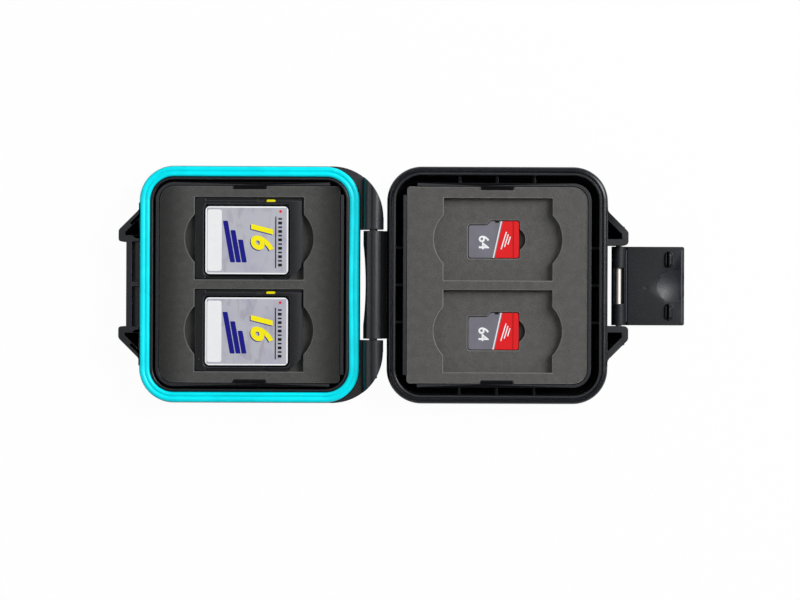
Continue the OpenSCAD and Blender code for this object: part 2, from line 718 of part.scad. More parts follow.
module sd_front() color("dimgray") {
    difference() {
        translate([0, 0, sd_split]) linear_extrude(sd_t - sd_split) polygon(sd_outline());
        for (s = [-1, 1]) translate([-sd_len / 2 - 1, s > 0 ? sd_w / 2 - sd_rail_w : -sd_w / 2 - 1, sd_rail_t])
            cube([sd_len - 2, sd_rail_w + 1, 1]);
        translate([label_shift, 0, sd_t - label_t]) linear_extrude(1)
            square([label_l + 0.1, label_w + 0.1], center = true);
        lock_notch();
        board_room(0);
    }
}

module sd_back() color("dimgray") {
    difference() {
        linear_extrude(sd_split) polygon(sd_outline());
        lock_notch();
        board_room(0);
        contact_windows();
    }
}

module sd_board() color("goldenrod") board_room(0.03);

module sd_label() color("gainsboro") translate([label_shift, 0, sd_t - label_t]) linear_extrude(label_t) {
    x = label_l / 2;
    y = label_w / 2;
    polygon(rounded([[-x, -y, 0.8], [x, -y, 0.8], [x, y, 0.8], [-x, y, 0.8]], 4));
}

module sd_lock_tab() color("gold") {
    x0 = -sd_len / 2 + lock_x;
    translate([x0, sd_w / 2 - lock_w, 0.35]) cube([lock_l, lock_w - 0.05, sd_rail_t - 0.4]);
    translate([x0, sd_w / 2 - lock_w - 0.55, sd_split - 0.2]) cube([lock_l, lock_w, 0.4]);
}

// Puts a full-size card in pocket 1, on the +y side, or in pocket 2.
module sd_place(i) in_base() translate([pocket_x, (i == 1 ? 1 : -1) * pocket_y, sd_floor]) children();
module micro_place(i) in_lid() translate([0, (i == 1 ? 1 : -1) * pocket_y, 0]) children();

base_shell();
lid_shell();
gasket();
hinge_pin();
latch();
latch_pin();
in_base() foam_top();  // base_foam_top
in_base() foam_middle();  // base_foam_middle
in_base() foam_back();  // base_foam_back
in_lid() foam_top();  // lid_foam_top
in_lid() foam_middle();  // lid_foam_middle
in_lid() foam_back();  // lid_foam_back
sd_place(1) sd_front();  // sd_front_1
sd_place(1) sd_back();  // sd_back_1
sd_place(1) sd_board();  // sd_board_1
sd_place(1) sd_label();  // sd_label_1
sd_place(1) sd_lock_tab();  // sd_lock_tab_1
sd_place(2) sd_front();  // sd_front_2
sd_place(2) sd_back();  // sd_back_2
sd_place(2) sd_board();  // sd_board_2
sd_place(2) sd_label();  // sd_label_2
sd_place(2) sd_lock_tab();  // sd_lock_tab_2
micro_place(1) microsd();  // microsd_1
micro_place(1) microsd_pads();  // microsd_pads_1
micro_place(2) microsd();  // microsd_2
micro_place(2) microsd_pads();  // microsd_pads_2
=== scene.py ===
"""Memory card case, open and flat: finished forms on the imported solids, and the picture of them.

Every length is in metres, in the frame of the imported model: +X runs from the base to the latch,
+Y along the hinge, and +Z up from the floor on which both halves lie.
"""

import json
import logging
import math
from dataclasses import dataclass
from dataclasses import field
from enum import Enum
from typing import Any
from typing import Callable

import bmesh
import bpy
import numpy as np
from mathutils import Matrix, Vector


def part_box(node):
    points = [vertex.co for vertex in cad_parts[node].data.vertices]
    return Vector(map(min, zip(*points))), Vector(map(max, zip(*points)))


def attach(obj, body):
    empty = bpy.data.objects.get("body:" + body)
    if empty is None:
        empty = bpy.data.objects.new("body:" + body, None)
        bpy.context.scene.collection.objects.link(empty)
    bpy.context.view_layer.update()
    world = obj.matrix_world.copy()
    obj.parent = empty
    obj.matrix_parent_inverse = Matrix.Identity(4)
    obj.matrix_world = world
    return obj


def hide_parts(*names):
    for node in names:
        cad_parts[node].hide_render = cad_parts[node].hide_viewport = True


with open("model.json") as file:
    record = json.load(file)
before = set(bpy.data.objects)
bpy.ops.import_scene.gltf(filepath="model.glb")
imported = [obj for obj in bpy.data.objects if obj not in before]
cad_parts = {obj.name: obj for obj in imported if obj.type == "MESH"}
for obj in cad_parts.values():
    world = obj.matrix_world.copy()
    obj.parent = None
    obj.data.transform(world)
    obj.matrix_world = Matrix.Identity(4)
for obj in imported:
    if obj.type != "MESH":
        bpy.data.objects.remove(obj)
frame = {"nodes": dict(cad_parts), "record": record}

LOG = logging.getLogger("card_case")
MM = 0.001
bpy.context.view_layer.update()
SAME_POINT = 0.002 * MM  # points nearer to each other than this are one
HAIR = 0.01 * MM  # how far a region reaches past its own edge
PAST = 1 * MM  # how far a cutter reaches past the piece
EDGE_MATERIAL = 1  # place of the edges' finish among the materials of a form

Place = tuple[float, float, float]
Colour = tuple[float, float, float]
Shape = tuple[np.ndarray, list[list[int]]]
Region = Callable[[np.ndarray], np.ndarray]
Reshape = Callable[[np.ndarray], np.ndarray]


class Slot(Enum):
    """Material slots of the record."""

    SHELL = "shell_plastic"
    LATCH = "latch_plastic"
    GASKET = "gasket_rubber"
    STEEL = "pin_steel"
    FOAM = "foam"
    CARD = "card_plastic"
    CONTACTS = "contacts"
    LABEL = "sd_label"
    TAB = "lock_tab"
    SMALL_CARD = "micro_body"


def shade(red: int, green: int, blue: int) -> Colour:
    """Linear colour of a screen colour whose parts go from 0 to 255, by the screen's own curve."""
    steps = np.array([red, green, blue]) / 255
    linear = np.where(steps <= 0.04045, steps / 12.92, ((steps + 0.055) / 1.055) ** 2.4)
    return tuple(float(part) for part in linear)


def scaled(colour: Colour, factor: float) -> Colour:
    """The colour with each linear part times the factor."""
    return tuple(min(part * factor, 1.0) for part in colour)


def operator(kind: str, swapped: bool = False) -> Callable[..., "Socket"]:
    """Method of a Socket that adds one Math node of this kind, also with its two values swapped."""
    def method(self: "Socket", other: Any = 0.0) -> "Socket":
        """The socket's value and the other one, taken together."""
        first, second = (other, self) if swapped else (self, other)
        return self.tree.node("ShaderNodeMath", {"operation": kind}, {0: first, 1: second})

    return method


class Socket:
    """Output of a shader node, on which maths on values is written as Python expressions."""

    def __init__(self, tree: "Tree", outlet: bpy.types.NodeSocket) -> None:
        """Keeps the tree that the outlet belongs to."""
        self.tree = tree
        self.outlet = outlet

    __add__ = operator("ADD")
    __radd__ = operator("ADD", swapped=True)
    __sub__ = operator("SUBTRACT")
    __rsub__ = operator("SUBTRACT", swapped=True)
    __mul__ = operator("MULTIPLY")
    __rmul__ = operator("MULTIPLY", swapped=True)
    __abs__ = operator("ABSOLUTE")
    larger = operator("MAXIMUM")


class Tree:
    """Node tree of a material or a world, with one method that adds any node."""

    def __init__(self, owner: bpy.types.Material | bpy.types.World) -> None:
        """Empties the owner's tree."""
        owner.use_nodes = True
        self.owner = owner
        self.nodes = owner.node_tree.nodes
        self.links = owner.node_tree.links
        self.nodes.clear()

    def node(self, kind: str, settings: dict[str, Any], inputs: dict[Any, Any], output: Any = 0) -> Socket:
        """Adds a node, sets it, feeds its inputs and gives back one of its outputs.

        Args:
            kind: The node's type.
            settings: Its properties, which are set before its inputs.
            inputs: Its input sockets, by name or number, each with a value or a Socket.
            output: Name or number of the output wanted.

        Returns:
            That output.
        """
        made = self.nodes.new(kind)
        for name, value in settings.items():
            setattr(made, name, value)
        for key, value in inputs.items():
            inlet = made.inputs[key]
            if isinstance(value, Socket):
                self.links.new(value.outlet, inlet)
            elif inlet.type == "RGBA":
                inlet.default_value = (*value, 1.0)
            else:
                inlet.default_value = value
        return Socket(self, made.outputs[output] if made.outputs else None)

    def place(self) -> Socket:
        """Place of the shaded point in the object's own coordinates."""
        return self.node("ShaderNodeTexCoord", {}, {}, "Object")

    def sheet(self) -> tuple[Socket, Socket]:
        """The two parts of the piece's own UV map."""
        flat = self.node("ShaderNodeTexCoord", {}, {}, "UV")
        parts = self.node("ShaderNodeSeparateXYZ", {}, {"Vector": flat}, 0)
        return parts, Socket(self, parts.outlet.node.outputs[1])

    def stretched(self, place: Socket, factors: Place) -> Socket:
        """The place with each of its parts times its own factor."""
        return self.node("ShaderNodeVectorMath", {"operation": "MULTIPLY"}, {0: place, 1: factors})

    def noise(self, place: Socket, size: float, detail: float = 2.0, twist: float = 0.0) -> Socket:
        """Smooth noise from about 0.2 to 0.8, whose blots are about the given size."""
        inputs = {"Vector": place, "Scale": 1 / size, "Detail": detail, "Distortion": twist}
        return self.node("ShaderNodeTexNoise", {}, inputs)

    def cells(self, place: Socket, size: float) -> Socket:
        """Distance from the middle of scattered cells, as a share of the cell's size."""
        return self.node("ShaderNodeTexVoronoi", {}, {"Vector": place, "Scale": 1 / size}, "Distance")

    def fade(self, value: Socket, low: float, high: float) -> Socket:
        """0 where the value is at low, 1 where it is at high, and a soft step between them."""
        inputs = {"Value": value, "From Min": low, "From Max": high}
        return self.node("ShaderNodeMapRange", {"interpolation_type": "SMOOTHSTEP"}, inputs)

    def blend(self, share: Any, first: Any, second: Any) -> Socket:
        """Colour that goes from the first to the second as the share goes from 0 to 1."""
        settings = {"data_type": "RGBA", "clamp_factor": True}
        return self.node("ShaderNodeMix", settings, {0: share, 6: first, 7: second}, 2)

    def varied(self, by: Socket, colour: Colour, darker: float, lighter: float) -> Socket:
        """The colour times one factor where a noise is low, and times another where it is high."""
        return self.blend(self.fade(by, 0.3, 0.7), scaled(colour, darker), scaled(colour, lighter))

    def bump(self, height: Socket, depth: float) -> Socket:
        """Normal of a surface that rises by the depth where the height is 1."""
        return self.node("ShaderNodeBump", {}, {"Height": height, "Distance": depth, "Strength": 1.0})


@dataclass(frozen=True)
class Finish:
    """Finish of a surface: its name, its colour and how rough it is."""

    name: str
    colour: Colour
    roughness: float

    def dress(self, tree: Tree) -> dict[str, Any]:
        """Inputs of the surface shader; each kind of finish gives its own."""
        raise NotImplementedError

    def material(self) -> bpy.types.Material:
        """The material of this finish, made once: its surface shader has the inputs of dress()."""
        known = bpy.data.materials.get(self.name)
        if known:
            return known
        tree = Tree(bpy.data.materials.new(self.name))
        shader = tree.node("ShaderNodeBsdfPrincipled", {}, self.dress(tree))
        tree.node("ShaderNodeOutputMaterial", {}, {"Surface": shader})
        return tree.owner


@dataclass(frozen=True)
class MouldedPlastic(Finish):
    """Injection-moulded plastic: an even eroded grain, faint clouds and a little dust."""

    grain: float = 0.28 * MM
    depth: float = 0.012 * MM
    cloud: float = 9 * MM
    speck_gap: float = 1.7 * MM
    dust: float = 0.25
    gloss: float = 0.5
    speck: float = 1.9
    dust_colour: Colour = shade(150, 150, 148)

    def dress(self, tree: Tree) -> dict[str, Any]:
        """Grain in the normal and the roughness, clouds and dust in the colour."""
        place = tree.place()
        grain = tree.noise(place, self.grain, detail=3)
        cloud = tree.noise(place, self.cloud)
        specks = tree.fade(tree.cells(place, self.speck_gap), 0.07, 0.03)
        few = tree.fade(tree.noise(place, 4 * self.speck_gap), 0.52, 0.62)
        clouded = tree.varied(cloud, self.colour, 0.86, 1.14)
        grained = tree.blend(tree.fade(grain, 0.45, 0.75) * 0.35, clouded, scaled(self.colour, self.speck))
        return {
            "Base Color": tree.blend(specks * few * self.dust, grained, self.dust_colour),
            "Roughness": self.roughness + (grain - 0.5) * 0.3 + (cloud - 0.5) * 0.12,
            "Specular IOR Level": self.gloss,
            "Normal": tree.bump(grain, self.depth),
        }


@dataclass(frozen=True)
class Silicone(Finish):
    """Soft moulded rubber: smooth and bright, with faint clouds, a skin and a few lint specks."""

    cloud: float = 7 * MM
    skin: float = 0.5 * MM
    lint_gap: float = 2.3 * MM
    lint: Colour = shade(190, 245, 250)

    def dress(self, tree: Tree) -> dict[str, Any]:
        """Clouds and lint in the colour, a shallow skin in the normal."""
        place = tree.place()
        cloud = tree.noise(place, self.cloud)
        skin = tree.noise(place, self.skin, detail=3)
        threads = tree.stretched(place, (1.0, 0.45, 1.0))
        lint = tree.fade(tree.cells(threads, self.lint_gap), 0.06, 0.03)
        return {
            "Base Color": tree.blend(lint * 0.3, tree.varied(cloud, self.colour, 0.94, 1.05), self.lint),
            "Roughness": self.roughness + (skin - 0.5) * 0.2 + (cloud - 0.5) * 0.1,
            "Specular IOR Level": 0.16,
            "Normal": tree.bump(skin, 0.008 * MM),
        }


@dataclass(frozen=True)
class ClosedCellFoam(Finish):
    """Die-cut closed-cell foam: matt, finely pitted and slightly mottled."""

    cell: float = 0.42 * MM
    mottle: float = 2.4 * MM
    depth: float = 0.07 * MM
    # painted shade: how much darker the sheet's two ends are
    end_shade: float = 0.0
    reach: float = 0.2

    def dress(self, tree: Tree) -> dict[str, Any]:
        """Pits from scattered cells in the colour and the normal, with fuzz between them.

        Painted shade: the sheet can also darken towards its two ends, where the tray's walls shade it,
        over the reach as a share of its length.
        """
        place = tree.place()
        along, _ = tree.sheet()
        # painted shade towards the sheet's two ends
        painted_end_shade = tree.fade(abs(along - 0.5), 0.5 - self.reach, 0.5) * self.end_shade
        pits = tree.fade(tree.cells(place, self.cell), 0.05, 0.5)
        fuzz = tree.noise(place, 0.4 * self.cell, detail=2)
        mottle = tree.noise(place, self.mottle, detail=3)
        pitted = tree.blend(pits, scaled(self.colour, 0.66), tree.varied(mottle, self.colour, 0.92, 1.08))
        fuzzy = tree.blend(tree.fade(fuzz, 0.6, 0.8) * 0.5, pitted, scaled(self.colour, 1.45))
        return {
            "Base Color": tree.blend(painted_end_shade, fuzzy, scaled(self.colour, 0.12)),
            "Roughness": self.roughness + (fuzz - 0.5) * 0.1,
            "Specular IOR Level": 0.2,
            "Normal": tree.bump(pits * 0.6 + fuzz * 0.4, self.depth),
        }


@dataclass(frozen=True)
class TurnedMetal(Finish):
    """Plated or turned metal with fine marks that run round the Y axis."""

    mark: float = 0.05 * MM
    run: Place = (0.06, 1.0, 0.06)
    worn: float = 0.25

    def dress(self, tree: Tree) -> dict[str, Any]:
        """Marks in the roughness and the normal, dull patches in the colour."""
        place = tree.place()
        marks = tree.noise(tree.stretched(place, self.run), self.mark, detail=2)
        dull = tree.noise(place, 1.8 * MM, detail=3)
        tint = tree.blend(tree.fade(dull, 0.35, 0.7) * self.worn, self.colour, scaled(self.colour, 0.2))
        return {
            "Base Color": tint,
            "Metallic": 1.0,
            "Roughness": self.roughness + (marks - 0.5) * self.worn + (dull - 0.5) * 0.6 * self.worn,
            "Normal": tree.bump(marks, 0.016 * self.worn * MM),
        }


@dataclass(frozen=True)
class LabelFilm(Finish):
    """Silvery printed film with lilac clouds and a paler frame round its edge, which is a painted
    highlight.
    """

    length: float = 24.6 * MM
    width: float = 20.15 * MM
    border: float = 0.42 * MM
    cloud: Colour = shade(176, 176, 192)
    stain: Colour = shade(150, 141, 156)
    # painted highlight along the label's edge
    frame: Colour = shade(244, 245, 247)

    def dress(self, tree: Tree) -> dict[str, Any]:
        """Clouds from noise, the frame, a painted highlight, from the distance to the nearer edge of the
        UV map.
        """
        place = tree.place()
        along, across = tree.sheet()
        from_end = abs(along - 0.5) * self.length - (0.5 * self.length - self.border)
        from_side = abs(across - 0.5) * self.width - (0.5 * self.width - self.border)
        edge_highlight_mask = tree.fade(from_end.larger(from_side), -0.04 * MM, 0.04 * MM)
        cloud = tree.noise(place, 7 * MM, detail=4, twist=0.6)
        streak = tree.noise(tree.stretched(place, (1.0, 0.35, 1.0)), 2.6 * MM, detail=5, twist=1.2)
        film = tree.blend(tree.fade(cloud, 0.34, 0.62), self.cloud, self.colour)
        stained = tree.blend(tree.fade(streak, 0.5, 0.72) * 0.5, film, self.stain)
        grain = tree.noise(place, 0.18 * MM, detail=2)
        return {
            "Base Color": tree.blend(edge_highlight_mask, stained, self.frame),
            "Metallic": 0.12,
            "Roughness": self.roughness + (grain - 0.5) * 0.2,
            "Normal": tree.bump(grain, 0.002 * MM),
        }


@dataclass(frozen=True)
class PrintInk(Finish):
    """Screen-printed ink with a faintly uneven coat."""

    def dress(self, tree: Tree) -> dict[str, Any]:
        """Uneven coat in the colour and the roughness."""
        coat = tree.noise(tree.place(), 0.35 * MM, detail=3)
        return {
            "Base Color": tree.blend(coat, scaled(self.colour, 0.93), scaled(self.colour, 1.07)),
            "Roughness": self.roughness + (coat - 0.5) * 0.2,
            "Specular IOR Level": 0.25,
            "Normal": tree.bump(coat, 0.003 * MM),
        }


@dataclass(frozen=True)
class TwoTonePrint(Finish):
    """Small card's body: grey, with a red field at its grip end behind a slanted white line."""

    red: Colour = (0.0, 0.0, 0.0)
    edge: float = 0.6
    slant: float = 0.16
    line: float = 0.012
    soft: float = 0.003
    grain: float = 0.2 * MM
    white: Colour = shade(232, 232, 234)

    def dress(self, tree: Tree) -> dict[str, Any]:
        """Fields from the UV map: red past the slanted edge, with the line along it."""
        place = tree.place()
        along, across = tree.sheet()
        past = along - self.edge - (across - 0.5) * self.slant
        red_field = tree.fade(past, -self.soft, self.soft)
        from_line = abs(past + 2.2 * self.line)
        white_line = tree.fade(from_line, self.line + self.soft, self.line - self.soft)
        grain = tree.noise(place, self.grain, detail=2)
        cloud = tree.noise(place, 5 * MM)
        fields = tree.blend(red_field, tree.varied(cloud, self.colour, 0.93, 1.06), self.red)
        lined = tree.blend(white_line, fields, self.white)
        return {
            "Base Color": tree.blend(tree.fade(grain, 0.5, 0.8) * 0.12, lined, scaled(self.colour, 1.3)),
            "Roughness": self.roughness + (grain - 0.5) * 0.25,
            "Specular IOR Level": 0.25,
            "Normal": tree.bump(grain, 0.006 * MM),
        }


@dataclass(frozen=True)
class StudioPaper(Finish):
    """Seamless paper that looks white behind the object and still takes part of its shadow."""

    seen: float = 0.97

    def material(self) -> bpy.types.Material:
        """Mixes the lit paper with plain white where the camera looks at it."""
        tree = Tree(bpy.data.materials.new(self.name))
        fibres = tree.noise(tree.place(), 1.2 * MM, detail=3)
        colour = tree.blend(fibres, scaled(self.colour, 0.99), self.colour)
        paper = tree.node("ShaderNodeBsdfDiffuse", {}, {"Color": colour})
        white = tree.node("ShaderNodeEmission", {}, {"Color": (1.0, 1.0, 1.0), "Strength": 1.0})
        rays = tree.node("ShaderNodeLightPath", {}, {}, "Is Camera Ray").outlet.node.outputs
        passing = Socket(tree, rays["Is Transmission Ray"])
        looked_at = Socket(tree, rays["Is Camera Ray"]).larger(passing)
        mixed = tree.node("ShaderNodeMixShader", {}, {0: looked_at * self.seen, 1: paper, 2: white})
        tree.node("ShaderNodeOutputMaterial", {}, {"Surface": mixed})
        return tree.owner


SHELL_FACE = MouldedPlastic("shell_plastic_face", shade(8, 11, 19), 0.32, depth=0.009 * MM, speck=3.6)
# edge wear and painted highlight: the shell's rounded edges are lighter and glossier than its faces
SHELL_EDGE = MouldedPlastic("shell_plastic_edge_wear_and_highlight", shade(18, 21, 28), 0.28, depth=0.005 * MM)
# painted shade: darker, matt, less glossy plastic on the shell's channel, tabs, ear hollows and hinge web
SHELL_PAINTED_SHADE = MouldedPlastic("shell_plastic_channel_painted_shade", shade(8, 8, 10), 0.85, dust=0.1, gloss=0.1)
LATCH_FACE = MouldedPlastic("latch_plastic_face", shade(8, 10, 17), 0.46, grain=0.55 * MM,
                            depth=0.04 * MM, speck=7.0, gloss=0.36)
# painted highlight: the finger scoop is lighter than the plate; it is also glossier
LATCH_SCOOP_HIGHLIGHT = MouldedPlastic("latch_plastic_scoop_painted_highlight", shade(30, 32, 38), 0.46, grain=0.55 * MM,
                             depth=0.03 * MM, speck=3.0, gloss=0.55)
# edge wear and painted highlight: the latch's rounded edges are lighter and glossier than its faces
LATCH_EDGE = MouldedPlastic("latch_plastic_edge_wear_and_highlight", shade(30, 32, 38), 0.36, grain=0.36 * MM)
# painted highlight: the latch's two raised lines are much lighter than its plate
LATCH_LINE_HIGHLIGHT = MouldedPlastic("latch_plastic_line_painted_highlight", shade(62, 64, 72), 0.36, grain=0.36 * MM)
# painted shade: near-black matt plastic on the walls and bottoms of the hooks' slots
LATCH_SLOT_SHADE = MouldedPlastic("latch_plastic_slot_painted_shade", shade(4, 4, 5), 0.85, dust=0.0, gloss=0.1)
RUBBER = Silicone("gasket_silicone", shade(0, 236, 249), 0.3)
BRIGHT_STEEL = TurnedMetal("latch_pin_steel", shade(244, 238, 232), 0.55, worn=0.06)
DARK_STEEL = TurnedMetal("hinge_pin_steel", shade(70, 70, 72), 0.4)
# painted shade: the base's foam is a darker copy of the lid's, and darker still towards the tray's ends
BASE_FOAM = ClosedCellFoam("base_foam_face_painted_shade", shade(80, 80, 79), 0.92, end_shade=0.75)
# painted highlight: the foam's cut edges are lighter than its face; the base's also take the painted shade
# at its ends
BASE_FOAM_CUT = ClosedCellFoam("base_foam_cut_edge_painted_light", shade(104, 104, 102), 0.92, end_shade=0.6)
LID_FOAM = ClosedCellFoam("lid_foam_face", shade(89, 88, 87), 0.92)
# painted highlight: the lid foam's cut edges are lighter than its face
LID_FOAM_CUT = ClosedCellFoam("lid_foam_cut_edge_painted_highlight", shade(118, 118, 116), 0.92)
# painted shade: the lid's back sheet, seen only through the pockets' notches, is darker than its other
# sheets
LID_FOAM_UNDER_SHADE = ClosedCellFoam("lid_foam_under_painted_shade", shade(54, 54, 53), 0.92)
CARD_FACE = MouldedPlastic("card_plastic_face", shade(12, 13, 17), 0.48, grain=0.34 * MM, dust=0.8,
                           gloss=0.28, speck=6.0)
# painted highlight: the card's rounded edges are much lighter than its faces
CARD_EDGE = MouldedPlastic("card_plastic_edge_painted_highlight", shade(52, 54, 62), 0.36, grain=0.3 * MM, depth=0.004 * MM)
# painted shade: near-black matt plastic on the walls and bottom of the moat round the label
CARD_MOAT_SHADE = MouldedPlastic("card_plastic_moat_painted_shade", shade(2, 2, 3), 0.85, dust=0.0, gloss=0.05)
GOLD = TurnedMetal("contact_gold", (0.95, 0.66, 0.25), 0.22, run=(1.0, 0.1, 1.0))
FILM = LabelFilm("label_film", shade(184, 185, 194), 0.38)
TAB_FACE = MouldedPlastic("lock_tab_plastic", shade(250, 236, 0), 0.42, grain=0.2 * MM, depth=0.006 * MM,
                          gloss=0.12)
SMALL_CARD = TwoTonePrint("small_card_print", shade(113, 112, 122), 0.42, red=shade(220, 6, 14))
WHITE_INK = PrintInk("ink_white", shade(238, 239, 241), 0.45)
GOLD_INK = PrintInk("ink_gold", shade(252, 236, 0), 0.45)
NAVY_INK = PrintInk("ink_navy", shade(4, 4, 128), 0.45)
BLACK_INK = PrintInk("ink_black", shade(5, 5, 7), 0.45)
RED_INK = PrintInk("ink_red", shade(236, 16, 22), 0.45)
PAPER = StudioPaper("studio_paper", (0.82, 0.82, 0.83), 1.0)


def linked(name: str, data: bpy.types.ID) -> bpy.types.Object:
    """New object with this data, at the origin and in the scene's collection."""
    made = bpy.data.objects.new(name, data)
    bpy.context.scene.collection.objects.link(made)
    return made


def piece(name: str, shape: Shape, finish: Finish | None = None, smooth: bool = True) -> bpy.types.Object:
    """New object of a closed shape, whose faces are turned outwards, with its finish if it has one."""
    points, faces = shape
    mesh = bpy.data.meshes.new(name)
    mesh.from_pydata(points.tolist(), [], faces)
    mesh.polygons.foreach_set("use_smooth", np.full(len(faces), smooth))
    facing_out(mesh)
    if finish:
        mesh.materials.append(finish.material())
    return linked(name, mesh)


def rows_of(items: bpy.types.bpy_prop_collection, attribute: str) -> np.ndarray:
    """What a mesh's points or faces hold in an attribute of three numbers, one row for each."""
    values = np.empty(len(items) * 3)
    items.foreach_get(attribute, values)
    return values.reshape(-1, 3)


def corners_of(mesh: bpy.types.Mesh) -> np.ndarray:
    """Number of the point at each corner of a mesh's faces."""
    corners = np.empty(len(mesh.loops), dtype=np.int32)
    mesh.loops.foreach_get("vertex_index", corners)
    return corners


def as_shown(made: bpy.types.Object, whole: bool = False) -> bpy.types.Mesh:
    """New mesh of an object after its modifiers, with all its layers where it is to be whole."""
    graph = bpy.context.evaluated_depsgraph_get()
    shown = made.evaluated_get(graph)
    return bpy.data.meshes.new_from_object(shown, preserve_all_data_layers=whole, depsgraph=graph)


def bevelled(made: bpy.types.Object, width: float, sharper_than: float) -> bpy.types.BevelModifier:
    """Adds live rounds of two segments along the edges sharper than an angle in degrees."""
    rounds = made.modifiers.new("rounded_edges", "BEVEL")
    rounds.width = width
    rounds.segments = 2
    rounds.limit_method = "ANGLE"
    rounds.angle_limit = math.radians(sharper_than)
    rounds.harden_normals = True
    return rounds


def facing_out(mesh: bpy.types.Mesh) -> None:
    """Turns every face of a closed mesh outwards."""
    shape = bmesh.new()
    shape.from_mesh(mesh)
    bmesh.ops.recalc_face_normals(shape, faces=shape.faces)
    shape.to_mesh(mesh)
    shape.free()


def settle(made: bpy.types.Object, body: str, nodes: tuple[str, ...] = ()) -> bpy.types.Object:
    """Lets a piece ride on its body and stand for its CAD nodes, which are hidden."""
    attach(made, body)
    if nodes:
        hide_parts(*nodes)
    LOG.info("%s rides on %s with %d faces", made.name, body, len(made.data.polygons))
    return made


def body_of(node: str) -> str:
    """Name of the body that a CAD node belongs to."""
    bodies = frame["record"]["behaviour"]["bodies"]
    return next(body for body, nodes in bodies.items() if node in nodes)


def merged_mesh(node: str, flatness: float, reshape: Reshape | None = None) -> bpy.types.Mesh:
    """Copy of a CAD node's mesh, with its loose triangles joined along their edges.

    Flat faces become whole, and those with more than four corners are then split into even
    triangles, which the rounding of the edges needs.

    Args:
        node: The CAD node.
        flatness: Faces that meet at less than this angle become one, in degrees.
        reshape: Moves the points, one row for each, before the faces are joined.

    Returns:
        The new mesh. The node's own mesh stays as it is.
    """
    source = frame["nodes"][node].data
    points = rows_of(source.vertices, "co")
    moved = reshape(points) if reshape else points
    mesh = bpy.data.meshes.new(f"{node}_form")
    mesh.from_pydata(moved.tolist(), [], corners_of(source).reshape(-1, 3).tolist())
    shape = bmesh.new()
    shape.from_mesh(mesh)
    bmesh.ops.remove_doubles(shape, verts=shape.verts, dist=SAME_POINT)
    limit = math.radians(flatness)
    bmesh.ops.dissolve_limit(shape, angle_limit=limit, verts=shape.verts, edges=shape.edges)
    many = [face for face in shape.faces if len(face.verts) > 4]
    bmesh.ops.triangulate(shape, faces=many, quad_method="BEAUTY", ngon_method="BEAUTY")
    bmesh.ops.recalc_face_normals(shape, faces=shape.faces)
    shape.to_mesh(mesh)
    shape.free()
    return mesh


def carved(mesh: bpy.types.Mesh, cutters: tuple[Shape, ...]) -> bpy.types.Mesh:
    """What is left of a mesh, which is used up, once closed shapes are taken out of it."""
    blank = linked("blank", mesh)
    tools = [piece(f"cutter_{number}", shape) for number, shape in enumerate(cutters)]
    for tool in tools:
        cut = blank.modifiers.new(tool.name, "BOOLEAN")
        cut.operation = "DIFFERENCE"
        cut.solver = "EXACT"
        cut.object = tool
    left = as_shown(blank)
    for made in (blank, *tools):
        spent = made.data
        bpy.data.objects.remove(made)
        bpy.data.meshes.remove(spent)
    return left


def keep_inside(made: bpy.types.Object, node: str) -> None:
    """Turns a piece's modifiers into its mesh, and holds its points inside its CAD node's box."""
    mesh = as_shown(made, whole=True)
    mesh.vertices.foreach_set("co", np.clip(rows_of(mesh.vertices, "co"), *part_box(node)).ravel())
    mesh.update()
    made.modifiers.clear()
    made.data = mesh


def map_from_above(mesh: bpy.types.Mesh) -> None:
    """Gives a mesh a UV map: its own box, seen from above, fills the map from 0 to 1."""
    flat = rows_of(mesh.vertices, "co")[:, :2]
    low = flat.min(axis=0)
    share = (flat - low) / (flat.max(axis=0) - low)
    mesh.uv_layers.new(name="from_above").data.foreach_set("uv", share[corners_of(mesh)].ravel())


@dataclass(frozen=True)
class Recess:
    """Part of a piece with its own finish, and the region that the middles of its faces lie in."""

    finish: Finish
    region: Region

    def dress(self, mesh: bpy.types.Mesh) -> None:
        """Gives the faces in the region this finish, as one more material of the mesh."""
        mesh.materials.append(self.finish.material())
        index = np.empty(len(mesh.polygons), dtype=np.int32)
        mesh.polygons.foreach_get("material_index", index)
        index[self.region(rows_of(mesh.polygons, "center"))] = len(mesh.materials) - 1
        mesh.polygons.foreach_set("material_index", index)


@dataclass(frozen=True)
class Rounding:
    """How the sharp edges of a moulded or cut piece are rounded."""

    width: float = 0.12 * MM
    segments: int = 2
    sharper_than: float = 32.0
    flatness: float = 1.0
    reshape: Reshape | None = None

    def form(self, node: str, face: Finish, edge: Finish, cutters: tuple[Shape, ...] = (),
             recesses: tuple[Recess, ...] = ()) -> bpy.types.Object:
        """Makes a rounded form of a CAD node, in the same place.

        Args:
            node: The CAD node.
            face: Finish of its faces.
            edge: Finish of the narrow rounds along its edges.
            cutters: Closed shapes that are taken out of it, in the row's frame.
            recesses: Its parts with a finish of their own.

        Returns:
            The new piece, which has a UV map from above.
        """
        mesh = merged_mesh(node, self.flatness, self.reshape)
        if cutters:
            mesh = carved(mesh, cutters)
        mesh.shade_smooth()
        map_from_above(mesh)
        mesh.materials.append(face.material())
        mesh.materials.append(edge.material())
        for recess in recesses:
            recess.dress(mesh)
        made = linked(f"{node}_form", mesh)
        rounds = bevelled(made, self.width, self.sharper_than)
        rounds.segments = self.segments
        rounds.use_clamp_overlap = False
        rounds.loop_slide = False
        rounds.material = EDGE_MATERIAL
        keep_inside(made, node)
        return made

    def replace(self, node: str, face: Finish, edge: Finish, slot: Slot,
                cutters: tuple[Shape, ...] = (), recesses: tuple[Recess, ...] = ()) -> bpy.types.Object:
        """Makes a rounded form of a CAD node, which it then stands for."""
        return settle(self.form(node, face, edge, cutters, recesses), body_of(node), (node,))


